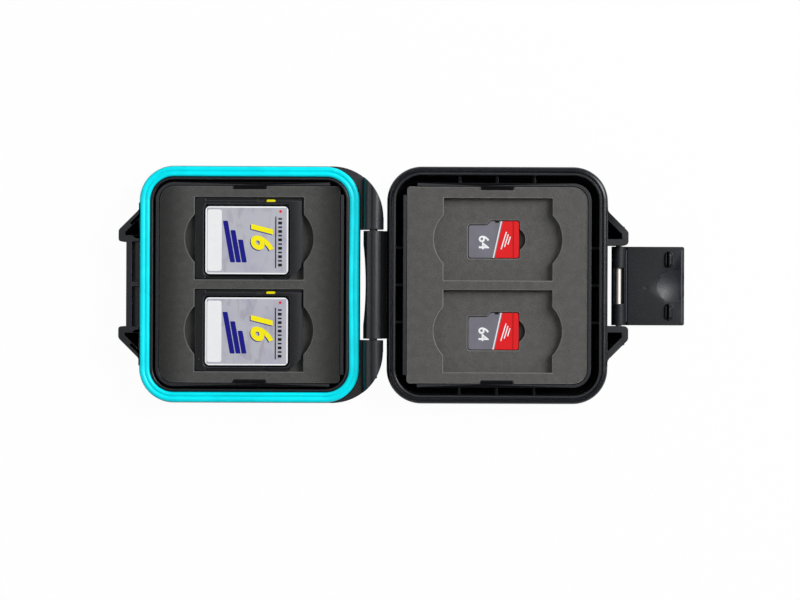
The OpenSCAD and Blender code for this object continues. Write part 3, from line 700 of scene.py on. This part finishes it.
def arc_points(centre: tuple[float, float], radius: float, start: float, end: float,
               steps: int) -> np.ndarray:
    """Points on a circle: its centre plus the radius times the cosine and sine of even angles.

    The angles go from the start to the end in degrees, in as many steps as there are points.
    """
    turn = np.radians(np.linspace(start, end, steps))
    return np.column_stack([centre[0] + radius * np.cos(turn), centre[1] + radius * np.sin(turn)])


def ring_faces(rows: int, columns: int, closed_rows: bool = True) -> np.ndarray:
    """Quads between neighbouring points of a grid of rings, whose columns close on themselves."""
    row = np.arange(rows if closed_rows else rows - 1)[:, None]
    column = np.arange(columns)[None, :]
    next_row = (row + 1) % rows
    next_column = (column + 1) % columns
    corners = [row * columns + column, next_row * columns + column,
               next_row * columns + next_column, row * columns + next_column]
    return np.stack(np.broadcast_arrays(*corners), axis=-1).reshape(-1, 4)


@dataclass
class Gasket:
    """Silicone ring of the base: a profile with two ridges carried round the rim."""

    node: str = "gasket"
    corner_radius: float = 10.3 * MM
    foot: float = 9.65 * MM
    near_wall: float = 0.28 * MM
    far_wall: float = 3.25 * MM
    ridge_radius: float = 0.85 * MM
    inner_ridge_radius: float = 0.7 * MM
    valley: float = 0.3 * MM
    valley_from_wall: float = 1.87 * MM
    tongue: tuple[float, float] = (1.2 * MM, 2.1 * MM)
    bow: float = 0.4 * MM
    wave: float = 0.02 * MM
    straight_steps: int = 40
    corner_steps: int = 20
    foot_rounding: float = 0.08 * MM

    def profile(self, top: float, low: float) -> np.ndarray:
        """Section of the ring with its ridges' top and its tongue's low end at the given heights.

        Returns:
            Closed outline, as distance from the wall's outer face and height: two arcs with a
            shallow valley between, then the foot and its tongue.
        """
        outer_middle = (self.near_wall + self.ridge_radius, top - self.ridge_radius)
        outer = arc_points(outer_middle, self.ridge_radius, 180, 52, 12)
        inner_middle = (self.far_wall - self.inner_ridge_radius, top - self.inner_ridge_radius)
        inner = arc_points(inner_middle, self.inner_ridge_radius, 125, 0, 12)
        valley = np.array([[self.valley_from_wall, top - self.valley]])
        left, right = self.tongue
        foot = np.array([[self.far_wall, self.foot], [right, self.foot], [right, low],
                         [left, low], [left, self.foot], [self.near_wall, self.foot]])
        return np.vstack([outer, valley, inner, foot])

    def path(self, low: Vector, high: Vector) -> tuple[np.ndarray, np.ndarray]:
        """Centres and outward directions along the rounded rectangle of a wall's box.

        Each corner is a quarter circle, whose direction turns evenly. Each side is a straight row of
        points between two corners, whose direction stays. What is carried along lies at the centre
        plus the direction times the corner's radius less its distance from the wall's outer face.

        Returns:
            The centres and the directions, one row for each step.
        """
        radius = self.corner_radius
        middles = np.array([[high.x - radius, high.y - radius], [low.x + radius, high.y - radius],
                            [low.x + radius, low.y + radius], [high.x - radius, low.y + radius]])
        centres, angles = [], []
        for quarter, middle in enumerate(middles):
            turn = np.linspace(90 * quarter, 90 * quarter + 90, self.corner_steps)
            centres.append(np.repeat(middle[None, :], self.corner_steps, axis=0))
            angles.append(turn)
            share = np.linspace(0, 1, self.straight_steps + 2)[1:-1, None]
            centres.append(middle + (middles[(quarter + 1) % 4] - middle) * share)
            angles.append(np.full(self.straight_steps, 90.0 * quarter + 90))
        turn = np.radians(np.concatenate(angles))
        return np.vstack(centres), np.column_stack([np.cos(turn), np.sin(turn)])

    def surface(self) -> np.ndarray:
        """Grid of the ring: the profile at each step of the path.

        The hinge side leans inwards by a smooth hump along Y, more towards the top of the ridges,
        and the top rises and falls by a small wave along the path.
        """
        low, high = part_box(self.node)
        margin = self.near_wall
        wall_low = Vector((low.x - margin, low.y - margin, 0))
        wall_high = Vector((high.x + margin, high.y + margin, 0))
        section = self.profile(high.z, low.z)
        centres, outward = self.path(wall_low, wall_high)
        reach = self.corner_radius - section[:, 0]
        flat = centres[:, None, :] + outward[:, None, :] * reach[None, :, None]
        height = np.broadcast_to(section[:, 1], flat.shape[:2])
        share = np.clip((height - self.foot) / (high.z - self.foot), 0, 1) ** 4
        half = 0.5 * (wall_high.y - wall_low.y) - self.corner_radius
        hump = np.clip(1 - (flat[..., 1] / half) ** 2, 0, 1) ** 2
        hinge_side = flat[..., 0] > 0.5 * (low.x + high.x)
        lean = self.bow * share * hump * hinge_side
        step = np.arange(len(centres))[:, None]
        swell = self.wave * share * (np.sin(step * 0.21) - 1)
        return np.stack([flat[..., 0] - lean, flat[..., 1], height + swell], axis=-1)

    def build(self) -> bpy.types.Object:
        """Makes the ring and lets it stand for its CAD node."""
        grid = self.surface()
        rows, columns = grid.shape[:2]
        faces = ring_faces(rows, columns)[:, ::-1]
        made = piece("gasket_ring", (grid.reshape(-1, 3), faces.tolist()), RUBBER)
        bevelled(made, self.foot_rounding, 50)
        return settle(made, body_of(self.node), (self.node,))


@dataclass
class Pin:
    """Steel pin along Y, turned with a chamfer and a slightly domed face at each end."""

    node: str
    finish: Finish
    chamfer: float = 0.18 * MM
    dome: float = 0.05 * MM
    steps: int = 48
    rings: int = 30

    def profile(self) -> np.ndarray:
        """Half section: place along Y and radius, from one face's middle to the other's.

        Returns:
            The rows of a domed face, a chamfer, the barrel with a few rings, and the same again.
        """
        low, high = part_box(self.node)
        radius = 0.5 * (high.x - low.x)
        inner = radius - self.chamfer
        face = np.linspace(0.02, 1, 6)
        start = np.column_stack([low.y + self.dome * face ** 2, inner * face])
        margin = self.dome + self.chamfer
        places = np.linspace(low.y + margin, high.y - margin, self.rings)
        barrel = np.column_stack([places, np.full(self.rings, radius)])
        end = np.column_stack([high.y - self.dome * face[::-1] ** 2, inner * face[::-1]])
        return np.vstack([start, barrel, end])

    def build(self) -> bpy.types.Object:
        """Turns the profile round the pin's axis, closes both faces and replaces the node."""
        low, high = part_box(self.node)
        along, radius = self.profile().T
        turn = np.linspace(0, 2 * np.pi, self.steps, endpoint=False)
        across = 0.5 * (low.x + high.x) + radius[:, None] * np.cos(turn)
        height = 0.5 * (low.z + high.z) + radius[:, None] * np.sin(turn)
        place = np.broadcast_to(along[:, None], across.shape)
        rows, columns = across.shape
        faces = ring_faces(rows, columns, closed_rows=False).tolist()
        faces.append(list(range(columns)))
        faces.append(list(range((rows - 1) * columns, rows * columns)))
        points = np.stack([across, place, height], axis=-1).reshape(-1, 3)
        made = piece(f"{self.node}_turned", (points, faces), self.finish)
        return settle(made, body_of(self.node), (self.node,))


@dataclass
class CaseHalf:
    """One half of the case: its moulded shell and the three foam sheets in its tray."""

    side: str
    foam_face: Finish
    foam_cut: Finish
    # finish of the back sheet; the lid's is darker, as painted shade
    foam_under: Finish
    # where the shell's painted shade starts inside the outer wall, and how high it reaches
    channel_inset: float
    channel_top: float
    crown: float = 1.0
    rounding: float = 0.1 * MM
    edge_radius: float = 0.65 * MM
    rim_top: float = 11.55 * MM
    tray_inset: float = 5.9 * MM
    corner_radius: float = 10.3 * MM
    floor: float = 1 * MM
    tab_half: float = 5.2 * MM
    tab_top: float = 10.7 * MM
    hinge_x: float = -8.7 * MM
    ears_from_hinge: float = 69.55 * MM
    hollow_reach: float = 4.3 * MM
    hollow_start: float = 13.9 * MM
    hollow_slope: float = 19.8 * MM
    web: tuple[float, float] = (0.0, 0.0)
    foam_rounding: Rounding = Rounding(0.24 * MM, segments=3)

    def core(self) -> tuple[np.ndarray, np.ndarray]:
        """Middle and half size of the rectangle between the middles of the wall's round corners."""
        low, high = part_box(f"{self.side}_foam_back")
        middle = 0.5 * np.array(low + high)[:2]
        return middle, 0.5 * np.array(high - low)[:2] + self.tray_inset - self.corner_radius

    def in_recess(self, places: np.ndarray) -> np.ndarray:
        """Whether places lie where little light comes: in the channel round the tray, on the tray's
        tabs, in the ears' hollows or on the web between a hinge barrel and the wall.

        The distance inside the outer wall is that to a rectangle with round corners: the corner
        radius, less the length of what reaches past the corner's middle along X and Y.

        Args:
            places: One row for each place.

        Returns:
            One truth value for each.
        """
        middle, half = self.core()
        past = np.abs(places[:, :2] - middle) - half
        corner = np.linalg.norm(np.maximum(past, 0), axis=1) + np.minimum(past.max(axis=1), 0)
        inset = self.corner_radius - corner
        height = places[:, 2]
        channel = (inset > self.channel_inset) & (height < self.channel_top)
        tab = (inset > self.channel_inset) & (np.abs(places[:, 0] - middle[0]) < self.tab_half)
        from_hinge = np.abs(places[:, 0] - self.hinge_x)
        side = np.abs(places[:, 1])
        out = from_hinge - self.ears_from_hinge
        ear = (out > 0) & (out < self.hollow_reach) & (side > self.hollow_start)
        ear &= out + side < self.hollow_slope
        web = (inset < 0) & (from_hinge > self.web[0]) & (from_hinge < self.web[1])
        return (height > self.floor) & (channel | web | ((height < self.tab_top) & (tab | ear)))

    def crowned(self, points: np.ndarray) -> np.ndarray:
        """Widens the round of the rim's outer edge.

        What lies on the round moves away from the corner between the rim's top and its outer wall:
        its distances from both grow by the crown's factor.

        Args:
            points: One row for each point.

        Returns:
            The moved points.
        """
        middle, half = self.core()
        offset = points[:, :2] - middle
        past = np.abs(offset) - half
        outside = np.maximum(past, 0)
        reach = np.linalg.norm(outside, axis=1)
        inset = self.corner_radius - reach
        drop = self.rim_top - points[:, 2]
        half_round = 0.5 * (self.edge_radius + SAME_POINT)
        reached = 1.02 * half_round
        on_round = (np.abs(inset - half_round) <= reached) & (np.abs(drop - half_round) <= reached)
        factor = np.where(on_round, self.crown, 1.0)
        share = (self.corner_radius - inset * factor) / np.maximum(reach, MM)
        wider = np.where(on_round[:, None] & (past > 0), outside * share[:, None], past)
        flat = middle + np.sign(offset) * (wider + half)
        return np.column_stack([flat, self.rim_top - drop * factor])

    def build(self) -> None:
        """Makes the shell and then the sheets, from the top one down."""
        rounding = Rounding(self.rounding, reshape=self.crowned if self.crown > 1 else None)
        # painted shade on the places that in_recess finds
        recess = Recess(SHELL_PAINTED_SHADE, self.in_recess)
        rounding.replace(f"{self.side}_shell", SHELL_FACE, SHELL_EDGE, Slot.SHELL, recesses=(recess,))
        faces = {"top": self.foam_face, "middle": self.foam_face, "back": self.foam_under}
        for layer, face in faces.items():
            self.foam_rounding.replace(f"{self.side}_foam_{layer}", face, self.foam_cut, Slot.FOAM)


@dataclass
class PrintSheet:
    """Thin raised ink on a flat face, gathered into one piece with a material for each ink."""

    name: str
    height: float
    coat: float = 0.015 * MM
    points: list[np.ndarray] = field(default_factory=list)
    faces: list[list[int]] = field(default_factory=list)
    inks: list[Finish] = field(default_factory=list)
    ink_of_face: list[int] = field(default_factory=list)

    def add(self, shape: Shape, ink: Finish, place: tuple[float, float], turn: float = 0.0,
            raised: float = 0.0) -> None:
        """Adds a shape, turned about its middle and moved to its place.

        Args:
            shape: Points about the middle, from height 0 to 1, and faces.
            ink: Its finish.
            place: Where its middle goes, in the row's X and Y.
            turn: Angle about Z, in degrees.
            raised: How far its coat starts above the face, in coats.
        """
        points, faces = shape
        angle = math.radians(turn)
        spin = np.array([[math.cos(angle), math.sin(angle)], [-math.sin(angle), math.cos(angle)]])
        flat = points[:, :2] @ spin + np.array(place)
        level = self.height + self.coat * (points[:, 2] + raised)
        start = sum(len(known) for known in self.points)
        if ink not in self.inks:
            self.inks.append(ink)
        self.points.append(np.column_stack([flat, level]))
        self.faces.extend([[start + corner for corner in face] for face in faces])
        self.ink_of_face.extend([self.inks.index(ink)] * len(faces))

    def build(self, body: str, slot: Slot) -> bpy.types.Object:
        """Makes one object of all shapes, which rides on the body."""
        made = piece(self.name, (np.vstack(self.points), self.faces), smooth=False)
        made.data.polygons.foreach_set("material_index", np.array(self.ink_of_face, dtype=np.int32))
        for ink in self.inks:
            made.data.materials.append(ink.material())
        return settle(made, body)


def plate(outline: np.ndarray) -> Shape:
    """Flat plate from height 0 to 1: a counter-clockwise outline twice, with a wall between."""
    count = len(outline)
    low = np.column_stack([outline, np.zeros(count)])
    high = np.column_stack([outline, np.ones(count)])
    index = np.arange(count)
    after = (index + 1) % count
    walls = np.column_stack([index, after, after + count, index + count]).tolist()
    return np.vstack([low, high]), [*walls, index[::-1].tolist(), (index + count).tolist()]


def bar(length: float, width: float, radius: float, slope: float = 0.0) -> Shape:
    """Bar with round corners, length along X by width along Y, leaning by the slope times its Y."""
    x = 0.5 * length - radius
    y = 0.5 * width - radius
    corners = [arc_points((sx * x, sy * y), radius, start, start + 90, 7)
               for sx, sy, start in ((1, 1, 0), (-1, 1, 90), (-1, -1, 180), (1, -1, 270))]
    outline = np.vstack(corners)
    outline[:, 0] += slope * outline[:, 1]
    return plate(outline)


def ring(length: float, width: float, radius: float, band: float) -> Shape:
    """Flat ring of the given band round a bar with round corners, from height 0 to 1."""
    inner = bar(length, width, radius)[0]
    outer = bar(length + 2 * band, width + 2 * band, radius + band)[0]
    count = len(inner) // 2
    points = np.vstack([inner[:count], inner[count:], outer[count:], outer[:count]])
    return points, ring_faces(4, count).tolist()


def placed(shape: Shape, middle: Vector, low: float, high: float) -> Shape:
    """The shape moved to a middle in X and Y, from one height to another."""
    points, faces = shape
    flat = points[:, :2] + np.array(middle)[:2]
    return np.column_stack([flat, low + (high - low) * points[:, 2]]), faces


def disc(radius: float) -> Shape:
    """Round plate of the given radius."""
    return plate(arc_points((0, 0), radius, 0, 345, 24))


def numeral(text: str, size: float, lean: float = 0.0, weight: float = 0.0) -> Shape:
    """Plain figures as a flat plate from height 0 to 1, centred on their own box.

    Args:
        text: The figures.
        size: Size of the type.
        lean: Lean of the figures, from -1 to 1.
        weight: How much bolder than plain, in metres.

    Returns:
        Their points and faces.
    """
    curve = bpy.data.curves.new("figures", "FONT")
    curve.body = text
    curve.size = size
    curve.shear = lean
    curve.offset = weight
    curve.extrude = 0.5
    curve.resolution_u = 5
    holder = linked("figures", curve)
    mesh = as_shown(holder)
    points = rows_of(mesh.vertices, "co")
    faces = [list(face.vertices) for face in mesh.polygons]
    bpy.data.objects.remove(holder)
    bpy.data.meshes.remove(mesh)
    points[:, :2] -= 0.5 * (points[:, :2].min(axis=0) + points[:, :2].max(axis=0))
    points[:, 2] += 0.5
    return points, faces


@dataclass
class LatchPlate:
    """The latch: its moulded plate with barrels, slotted hooks, finger scoop and two raised lines."""

    node: str = "latch"
    rounding: float = 0.1 * MM
    plate_top: float = 2.7 * MM
    scoop_from_end: float = 3.2 * MM
    scoop_radius: float = 4.9 * MM
    scoop_depth: float = 1.1 * MM
    scoop_rings: int = 160
    scoop_steps: int = 72
    scoop_end_margin: float = 0.3 * MM
    slot_from_end: float = 5.05 * MM
    slot_side: float = 7.95 * MM
    slot: tuple[float, float] = (0.75 * MM, 4.9 * MM)
    slot_bottom: float = 2.45 * MM
    slot_corner: float = 0.2 * MM
    line: tuple[float, float] = (0.4 * MM, 21.6 * MM)
    line_coat: float = 0.1 * MM
    line_sink: float = 0.02 * MM
    line_corner: float = 0.1 * MM
    lines_from_end: tuple[float, float] = (0.8 * MM, 17.45 * MM)

    def scoop(self) -> Shape:
        """Ball whose lowest part makes the finger scoop.

        Its radius follows from the scoop's own radius and depth: half of their squares' sum over the
        depth. Its rings turn from the lowest point to the highest one.
        """
        _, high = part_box(self.node)
        radius = (self.scoop_radius ** 2 + self.scoop_depth ** 2) / (2 * self.scoop_depth)
        rings, steps = self.scoop_rings, self.scoop_steps
        rise = np.radians(np.linspace(0.5, 179.5, rings))[:, None]
        turn = np.linspace(0, 2 * np.pi, steps, endpoint=False)[None, :]
        across = radius * np.sin(rise)
        x = high.x - self.scoop_from_end + across * np.cos(turn)
        lowest = self.plate_top - self.scoop_depth
        z = np.broadcast_to(lowest + radius * (1 - np.cos(rise)), x.shape)
        points = np.stack([x, across * np.sin(turn), z], axis=-1).reshape(-1, 3)
        faces = ring_faces(rings, steps, closed_rows=False).tolist()
        return points, [*faces, list(range(steps)), list(range((rings - 1) * steps, rings * steps))]

    def slots(self) -> list[Shape]:
        """Slots along the middle of both hooks."""
        _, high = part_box(self.node)
        cut = bar(*self.slot, self.slot_corner)
        x = high.x - self.slot_from_end
        return [placed(cut, Vector((x, side, 0)), self.slot_bottom, high.z + PAST)
                for side in (-self.slot_side, self.slot_side)]

    def in_slot(self, places: np.ndarray) -> np.ndarray:
        """Whether places lie on the walls or the bottom of a slot."""
        _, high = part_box(self.node)
        along = np.abs(places[:, 0] - high.x + self.slot_from_end) < 0.5 * self.slot[0] + HAIR
        across = np.abs(np.abs(places[:, 1]) - self.slot_side) < 0.5 * self.slot[1] + HAIR
        return along & across & (places[:, 2] > self.slot_bottom - HAIR)

    def in_scoop(self, places: np.ndarray) -> np.ndarray:
        """Whether places lie in the finger scoop."""
        _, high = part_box(self.node)
        offset = places[:, :2] - np.array([high.x - self.scoop_from_end, 0])
        drop = self.plate_top - places[:, 2]
        below = (drop > HAIR) & (drop < self.scoop_depth + HAIR)
        before_end = offset[:, 0] < self.scoop_from_end - self.scoop_end_margin
        return below & before_end & (np.linalg.norm(offset, axis=1) < self.scoop_radius)

    def build(self) -> None:
        """Makes the plate and its lines."""
        _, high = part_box(self.node)
        cutters = (self.scoop(), *self.slots())
        # the scoop takes a lighter, glossier finish, a painted highlight; the slots take painted shade
        parts = (Recess(LATCH_SCOOP_HIGHLIGHT, self.in_scoop), Recess(LATCH_SLOT_SHADE, self.in_slot))
        Rounding(self.rounding).replace(self.node, LATCH_FACE, LATCH_EDGE, Slot.LATCH, cutters, parts)
        # raised lines in a lighter finish, a painted highlight
        lines = PrintSheet("latch_lines", self.plate_top - self.line_sink, self.line_coat)
        for from_end in self.lines_from_end:
            lines.add(bar(*self.line, self.line_corner), LATCH_LINE_HIGHLIGHT, (high.x - from_end, 0.0))
        lines.build(body_of(self.node), Slot.LATCH)


@dataclass
class FullSizeCard:
    """Full-size memory card: two covers, the board between, label, lock tab and plain print."""

    number: int
    label_shift: tuple[float, float]
    label_size: tuple[float, float] = (24.6 * MM, 20.15 * MM)
    label_corner: float = 1.25 * MM
    covers: Rounding = Rounding(0.09 * MM)
    thin: Rounding = Rounding(0.02 * MM)
    moat_width: float = 0.62 * MM
    moat_depth: float = 0.45 * MM
    well_overlap: float = 0.02 * MM
    bevel: float = 0.95 * MM
    bevel_slope: float = 0.56
    nick: tuple[float, float] = (1.9 * MM, 0.65 * MM)
    nick_corner: float = 0.1 * MM
    nick_from_end: float = 11.1 * MM
    tab_from_side: tuple[float, float] = (0.4 * MM, 1.5 * MM)
    tab_rise: float = 0.4 * MM
    tab_corner: float = 0.42 * MM
    tab_rounding: float = 0.1 * MM
    ink_sink: float = 0.003 * MM
    reading_turn: float = -90.0
    figures: str = "16"
    figure_size: float = 8.6 * MM
    figure_weight: float = 0.34 * MM
    bar_width: float = 1.5
    bar_lengths: tuple[float, ...] = (12.4, 9.6, 6.8)
    tick_widths: tuple[float, float] = (0.5, 0.85)
    ticks: int = 12

    def node(self, part: str) -> str:
        """Name of the CAD node of one of its parts."""
        return f"sd_{part}_{self.number}"

    def label_middle(self) -> Vector:
        """Middle of the printed label."""
        low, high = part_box(self.node("label"))
        return 0.5 * (low + high) + Vector((*self.label_shift, 0))

    def cutters(self) -> tuple[Shape, ...]:
        """Shapes cut out of the front cover.

        They are a shallow well for the label, a deeper moat round it, a nick in the plain side and
        a bevel at the contact end, which is a prism along Y with four corners.

        Returns:
            The well, the moat, the nick and the bevel.
        """
        low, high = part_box(self.node("front"))
        label_low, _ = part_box(self.node("label"))
        middle = self.label_middle()
        length, width = self.label_size
        above = high.z + PAST
        around = 2 * (self.moat_width - self.well_overlap)
        well = placed(bar(length + around, width + around, self.label_corner), middle, label_low.z, above)
        moat = placed(ring(length, width, self.label_corner, self.moat_width), middle,
                      high.z - self.moat_depth, above)
        nick = placed(bar(self.nick[0], 2 * self.nick[1], self.nick_corner),
                      Vector((high.x - self.nick_from_end, low.y, 0)), low.z - 2 * PAST, above)
        start = high.x - self.bevel
        end = high.x + self.bevel
        section = np.array([[start, high.z], [start, above], [end, above],
                            [end, high.z - self.bevel_slope * (end - start)]])
        ends = [np.column_stack([section[:, 0], np.full(4, y), section[:, 1]])
                for y in (low.y - PAST, high.y + PAST)]
        sides = ring_faces(2, 4, closed_rows=False).tolist()
        return well, moat, nick, (np.vstack(ends), [*sides, [3, 2, 1, 0], [4, 5, 6, 7]])

    def in_moat(self, places: np.ndarray) -> np.ndarray:
        """Whether places lie on the walls or the bottom of the moat."""
        _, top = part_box(self.node("front"))
        half = 0.5 * np.array(self.label_size) + self.moat_width + 2 * HAIR
        near = np.abs(places[:, :2] - np.array(self.label_middle())[:2]) < half
        drop = top.z - places[:, 2]
        return near.all(axis=1) & (drop > 5 * HAIR) & (drop < self.moat_depth + HAIR)

    def label(self) -> None:
        """Makes the label with its round corners."""
        node = self.node("label")
        low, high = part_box(node)
        film = placed(bar(*self.label_size, self.label_corner), self.label_middle(), low.z, high.z)
        made = piece(f"{node}_film", film, FILM, smooth=False)
        map_from_above(made.data)
        settle(made, body_of(node), (node,))

    def tab(self) -> None:
        """Makes the lock tab: a small block with round corners, against the notch's inner wall."""
        node = self.node("lock_tab")
        low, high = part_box(node)
        _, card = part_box(self.node("front"))
        near, far = self.tab_from_side
        middle = Vector((0.5 * (low.x + high.x), card.y - 0.5 * (near + far), 0))
        outline = bar(high.x - low.x, far - near, self.tab_corner)
        made = piece(f"{node}_block", placed(outline, middle, low.z, high.z + self.tab_rise), TAB_FACE)
        bevelled(made, self.tab_rounding, 50)
        settle(made, body_of(node), (node,))

    def print_label(self) -> None:
        """Prints plain figures, bars, ticks and a write-on strip in generic places on the label.

        Sizes and places in it are in millimetres, and places count from the label's middle.
        """
        _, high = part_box(self.node("label"))
        middle = self.label_middle()
        sheet = PrintSheet(f"sd_print_{self.number}", high.z - self.ink_sink)

        def at(along: float, across: float) -> tuple[float, float]:
            """Place on the label."""
            return middle.x + along * MM, middle.y + across * MM

        def block(length: float, width: float, corner: float, slope: float = 0.0) -> Shape:
            """Bar with round corners."""
            return bar(length * MM, width * MM, corner * MM, slope)

        sheet.add(block(4.25, 18.3, 0.7), WHITE_INK, at(-9.57, 0))
        for row, length in enumerate(self.bar_lengths):
            place = at(-5.3 + 2.0 * row, 0.5 * (length - self.bar_lengths[0]) - 0.4)
            sheet.add(block(self.bar_width, length, 0.3, -0.18), NAVY_INK, place)
        figures = numeral(self.figures, self.figure_size, lean=0.25, weight=self.figure_weight)
        sheet.add(figures, NAVY_INK, at(4.33, 0.66), self.reading_turn)
        sheet.add(figures, GOLD_INK, at(4.6, 0.9), self.reading_turn, raised=1.0)
        sheet.add(block(0.35, 15.4, 0.15), BLACK_INK, at(8.6, -0.6))
        for step in range(self.ticks):
            tick = block(1.15, self.tick_widths[step % 2], 0.12)
            sheet.add(tick, BLACK_INK, at(9.9, 6.4 - 1.25 * step))
        sheet.add(disc(0.42 * MM), RED_INK, at(10.0, 8.6))
        sheet.build(body_of(self.node("label")), Slot.LABEL)

    def build(self) -> None:
        """Makes the card's pieces from the back cover up."""
        cutters = self.cutters()
        nick = cutters[2]
        # painted shade in the moat round the label
        moat = Recess(CARD_MOAT_SHADE, self.in_moat)
        self.covers.replace(self.node("back"), CARD_FACE, CARD_EDGE, Slot.CARD, (nick,))
        self.thin.replace(self.node("board"), GOLD, GOLD, Slot.CONTACTS)
        self.covers.replace(self.node("front"), CARD_FACE, CARD_EDGE, Slot.CARD, cutters, (moat,))
        self.label()
        self.tab()
        self.print_label()


@dataclass
class SmallCard:
    """Small memory card: moulded body with a two-tone print, gold contacts and plain figures."""

    number: int
    body_rounding: Rounding = Rounding(0.07 * MM)
    thin: Rounding = Rounding(0.015 * MM)
    top: float = 6.75 * MM
    ink_sink: float = 0.003 * MM
    reading_turn: float = -90.0
    figures: str = "64"
    figure_size: float = 4.2 * MM
    figure_weight: float = 0.08 * MM
    bar_lengths: tuple[float, ...] = (5.2 * MM, 3.8 * MM, 2.4 * MM)
    bar_width: float = 0.34 * MM
    bar_corner: float = 0.12 * MM

    def print_face(self) -> None:
        """Prints plain figures on the grey field and three bars on the red one."""
        low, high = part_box(f"microsd_{self.number}")
        middle = 0.5 * (low + high)
        sheet = PrintSheet(f"micro_print_{self.number}", self.top - self.ink_sink)
        sheet.add(numeral(self.figures, self.figure_size, weight=self.figure_weight), WHITE_INK,
                  (middle.x - 2.9 * MM, middle.y - 0.9 * MM), self.reading_turn)
        for row, length in enumerate(self.bar_lengths):
            place = (middle.x + (3.0 + 0.8 * row) * MM, middle.y - 0.3 * MM)
            sheet.add(bar(self.bar_width, length, self.bar_corner, slope=0.3), WHITE_INK, place)
        sheet.build(body_of(f"microsd_{self.number}"), Slot.SMALL_CARD)

    def build(self) -> None:
        """Makes the body, its contacts and its print."""
        self.body_rounding.replace(f"microsd_{self.number}", SMALL_CARD, SMALL_CARD, Slot.SMALL_CARD)
        self.thin.replace(f"microsd_pads_{self.number}", GOLD, GOLD, Slot.CONTACTS)
        self.print_face()


@dataclass
class Studio:
    """Seamless paper, three softboxes and the camera straight above."""

    paper_radius: float = 1.7
    fillet: float = 0.35
    wall: float = 1.5
    camera_place: Place = (-0.78 * MM, -4.47 * MM, 911.6 * MM)
    camera_roll: float = 0.23
    lens: float = 136.5
    sensor: float = 36.0
    ambient: float = 0.1
    around: int = 96
    lamps: tuple[tuple[str, Place, tuple[float, float], float], ...] = (
        ("softbox_right", (0.74, 0.36, 0.72), (0.42, 0.9), 13.0),
        ("softbox_left", (-0.85, 0.1, 0.68), (0.6, 0.9), 2.0),
        ("softbox_above", (0.05, 0.2, 1.25), (0.55, 0.55), 1.4),
    )

    def paper(self) -> None:
        """Turns floor, fillet and wall round the Z axis: a flat, a quarter circle and a cylinder."""
        turn = np.linspace(0, 2 * np.pi, self.around, endpoint=False)
        flat = np.column_stack([np.linspace(0.001, self.paper_radius - self.fillet, 12), np.zeros(12)])
        middle = (self.paper_radius - self.fillet, self.fillet)
        curve = arc_points(middle, self.fillet, -90, 0, 12)[1:]
        wall = np.column_stack([np.full(6, self.paper_radius), np.linspace(self.fillet, self.wall, 7)[1:]])
        radius, height = np.vstack([flat, curve, wall]).T
        grid = np.stack([radius[:, None] * np.cos(turn), radius[:, None] * np.sin(turn),
                         np.broadcast_to(height[:, None], (len(height), len(turn)))], axis=-1)
        faces = ring_faces(*grid.shape[:2], closed_rows=False).tolist()
        faces.append(list(range(len(turn))))
        made = piece("paper", (grid.reshape(-1, 3), faces), PAPER)

    def softbox(self, name: str, place: Place, size: tuple[float, float], power: float) -> None:
        """Area lamp of a size and a power in watts, which faces the middle of the object."""
        lamp = bpy.data.lights.new(name, "AREA")
        lamp.shape = "RECTANGLE"
        lamp.size, lamp.size_y = size
        lamp.energy = power
        holder = linked(name, lamp)
        holder.location = place
        holder.rotation_euler = Vector(place).to_track_quat("Z", "Y").to_euler()
        holder.visible_camera = False

    def build(self) -> None:
        """Puts up the paper, the lamps, the world and the camera."""
        self.paper()
        for lamp in self.lamps:
            self.softbox(*lamp)
        world = bpy.data.worlds.new("studio")
        bpy.context.scene.world = world
        tree = Tree(world)
        sky = tree.node("ShaderNodeBackground", {}, {"Color": (1.0, 1.0, 1.0), "Strength": self.ambient})
        tree.node("ShaderNodeOutputWorld", {}, {"Surface": sky})
        camera = bpy.data.cameras.new("camera")
        camera.lens = self.lens
        camera.sensor_width = self.sensor
        holder = linked("camera", camera)
        holder.location = self.camera_place
        holder.rotation_euler = (0.0, 0.0, math.radians(self.camera_roll))
        bpy.context.scene.camera = holder
        bpy.context.scene.view_settings.view_transform = "Standard"


def main() -> None:
    """Builds the studio, the case and the cards in order."""
    logging.basicConfig(level=logging.INFO, format="%(name)s: %(message)s")
    Studio().build()
    CaseHalf("base", BASE_FOAM, BASE_FOAM_CUT, BASE_FOAM,
             channel_inset=4.0 * MM, channel_top=9.0 * MM).build()
    CaseHalf("lid", LID_FOAM, LID_FOAM_CUT, LID_FOAM_UNDER_SHADE, channel_inset=2.5 * MM,
             channel_top=10.1 * MM, crown=2.08, web=(2.0 * MM, 4.1 * MM)).build()
    Gasket().build()
    Pin("hinge_pin", DARK_STEEL).build()
    Pin("latch_pin", BRIGHT_STEEL).build()
    LatchPlate().build()
    for number, shift in ((1, -0.55 * MM), (2, -0.32 * MM)):
        FullSizeCard(number, (-0.12 * MM, shift)).build()
        SmallCard(number).build()


if __name__ == "__main__":
    main()
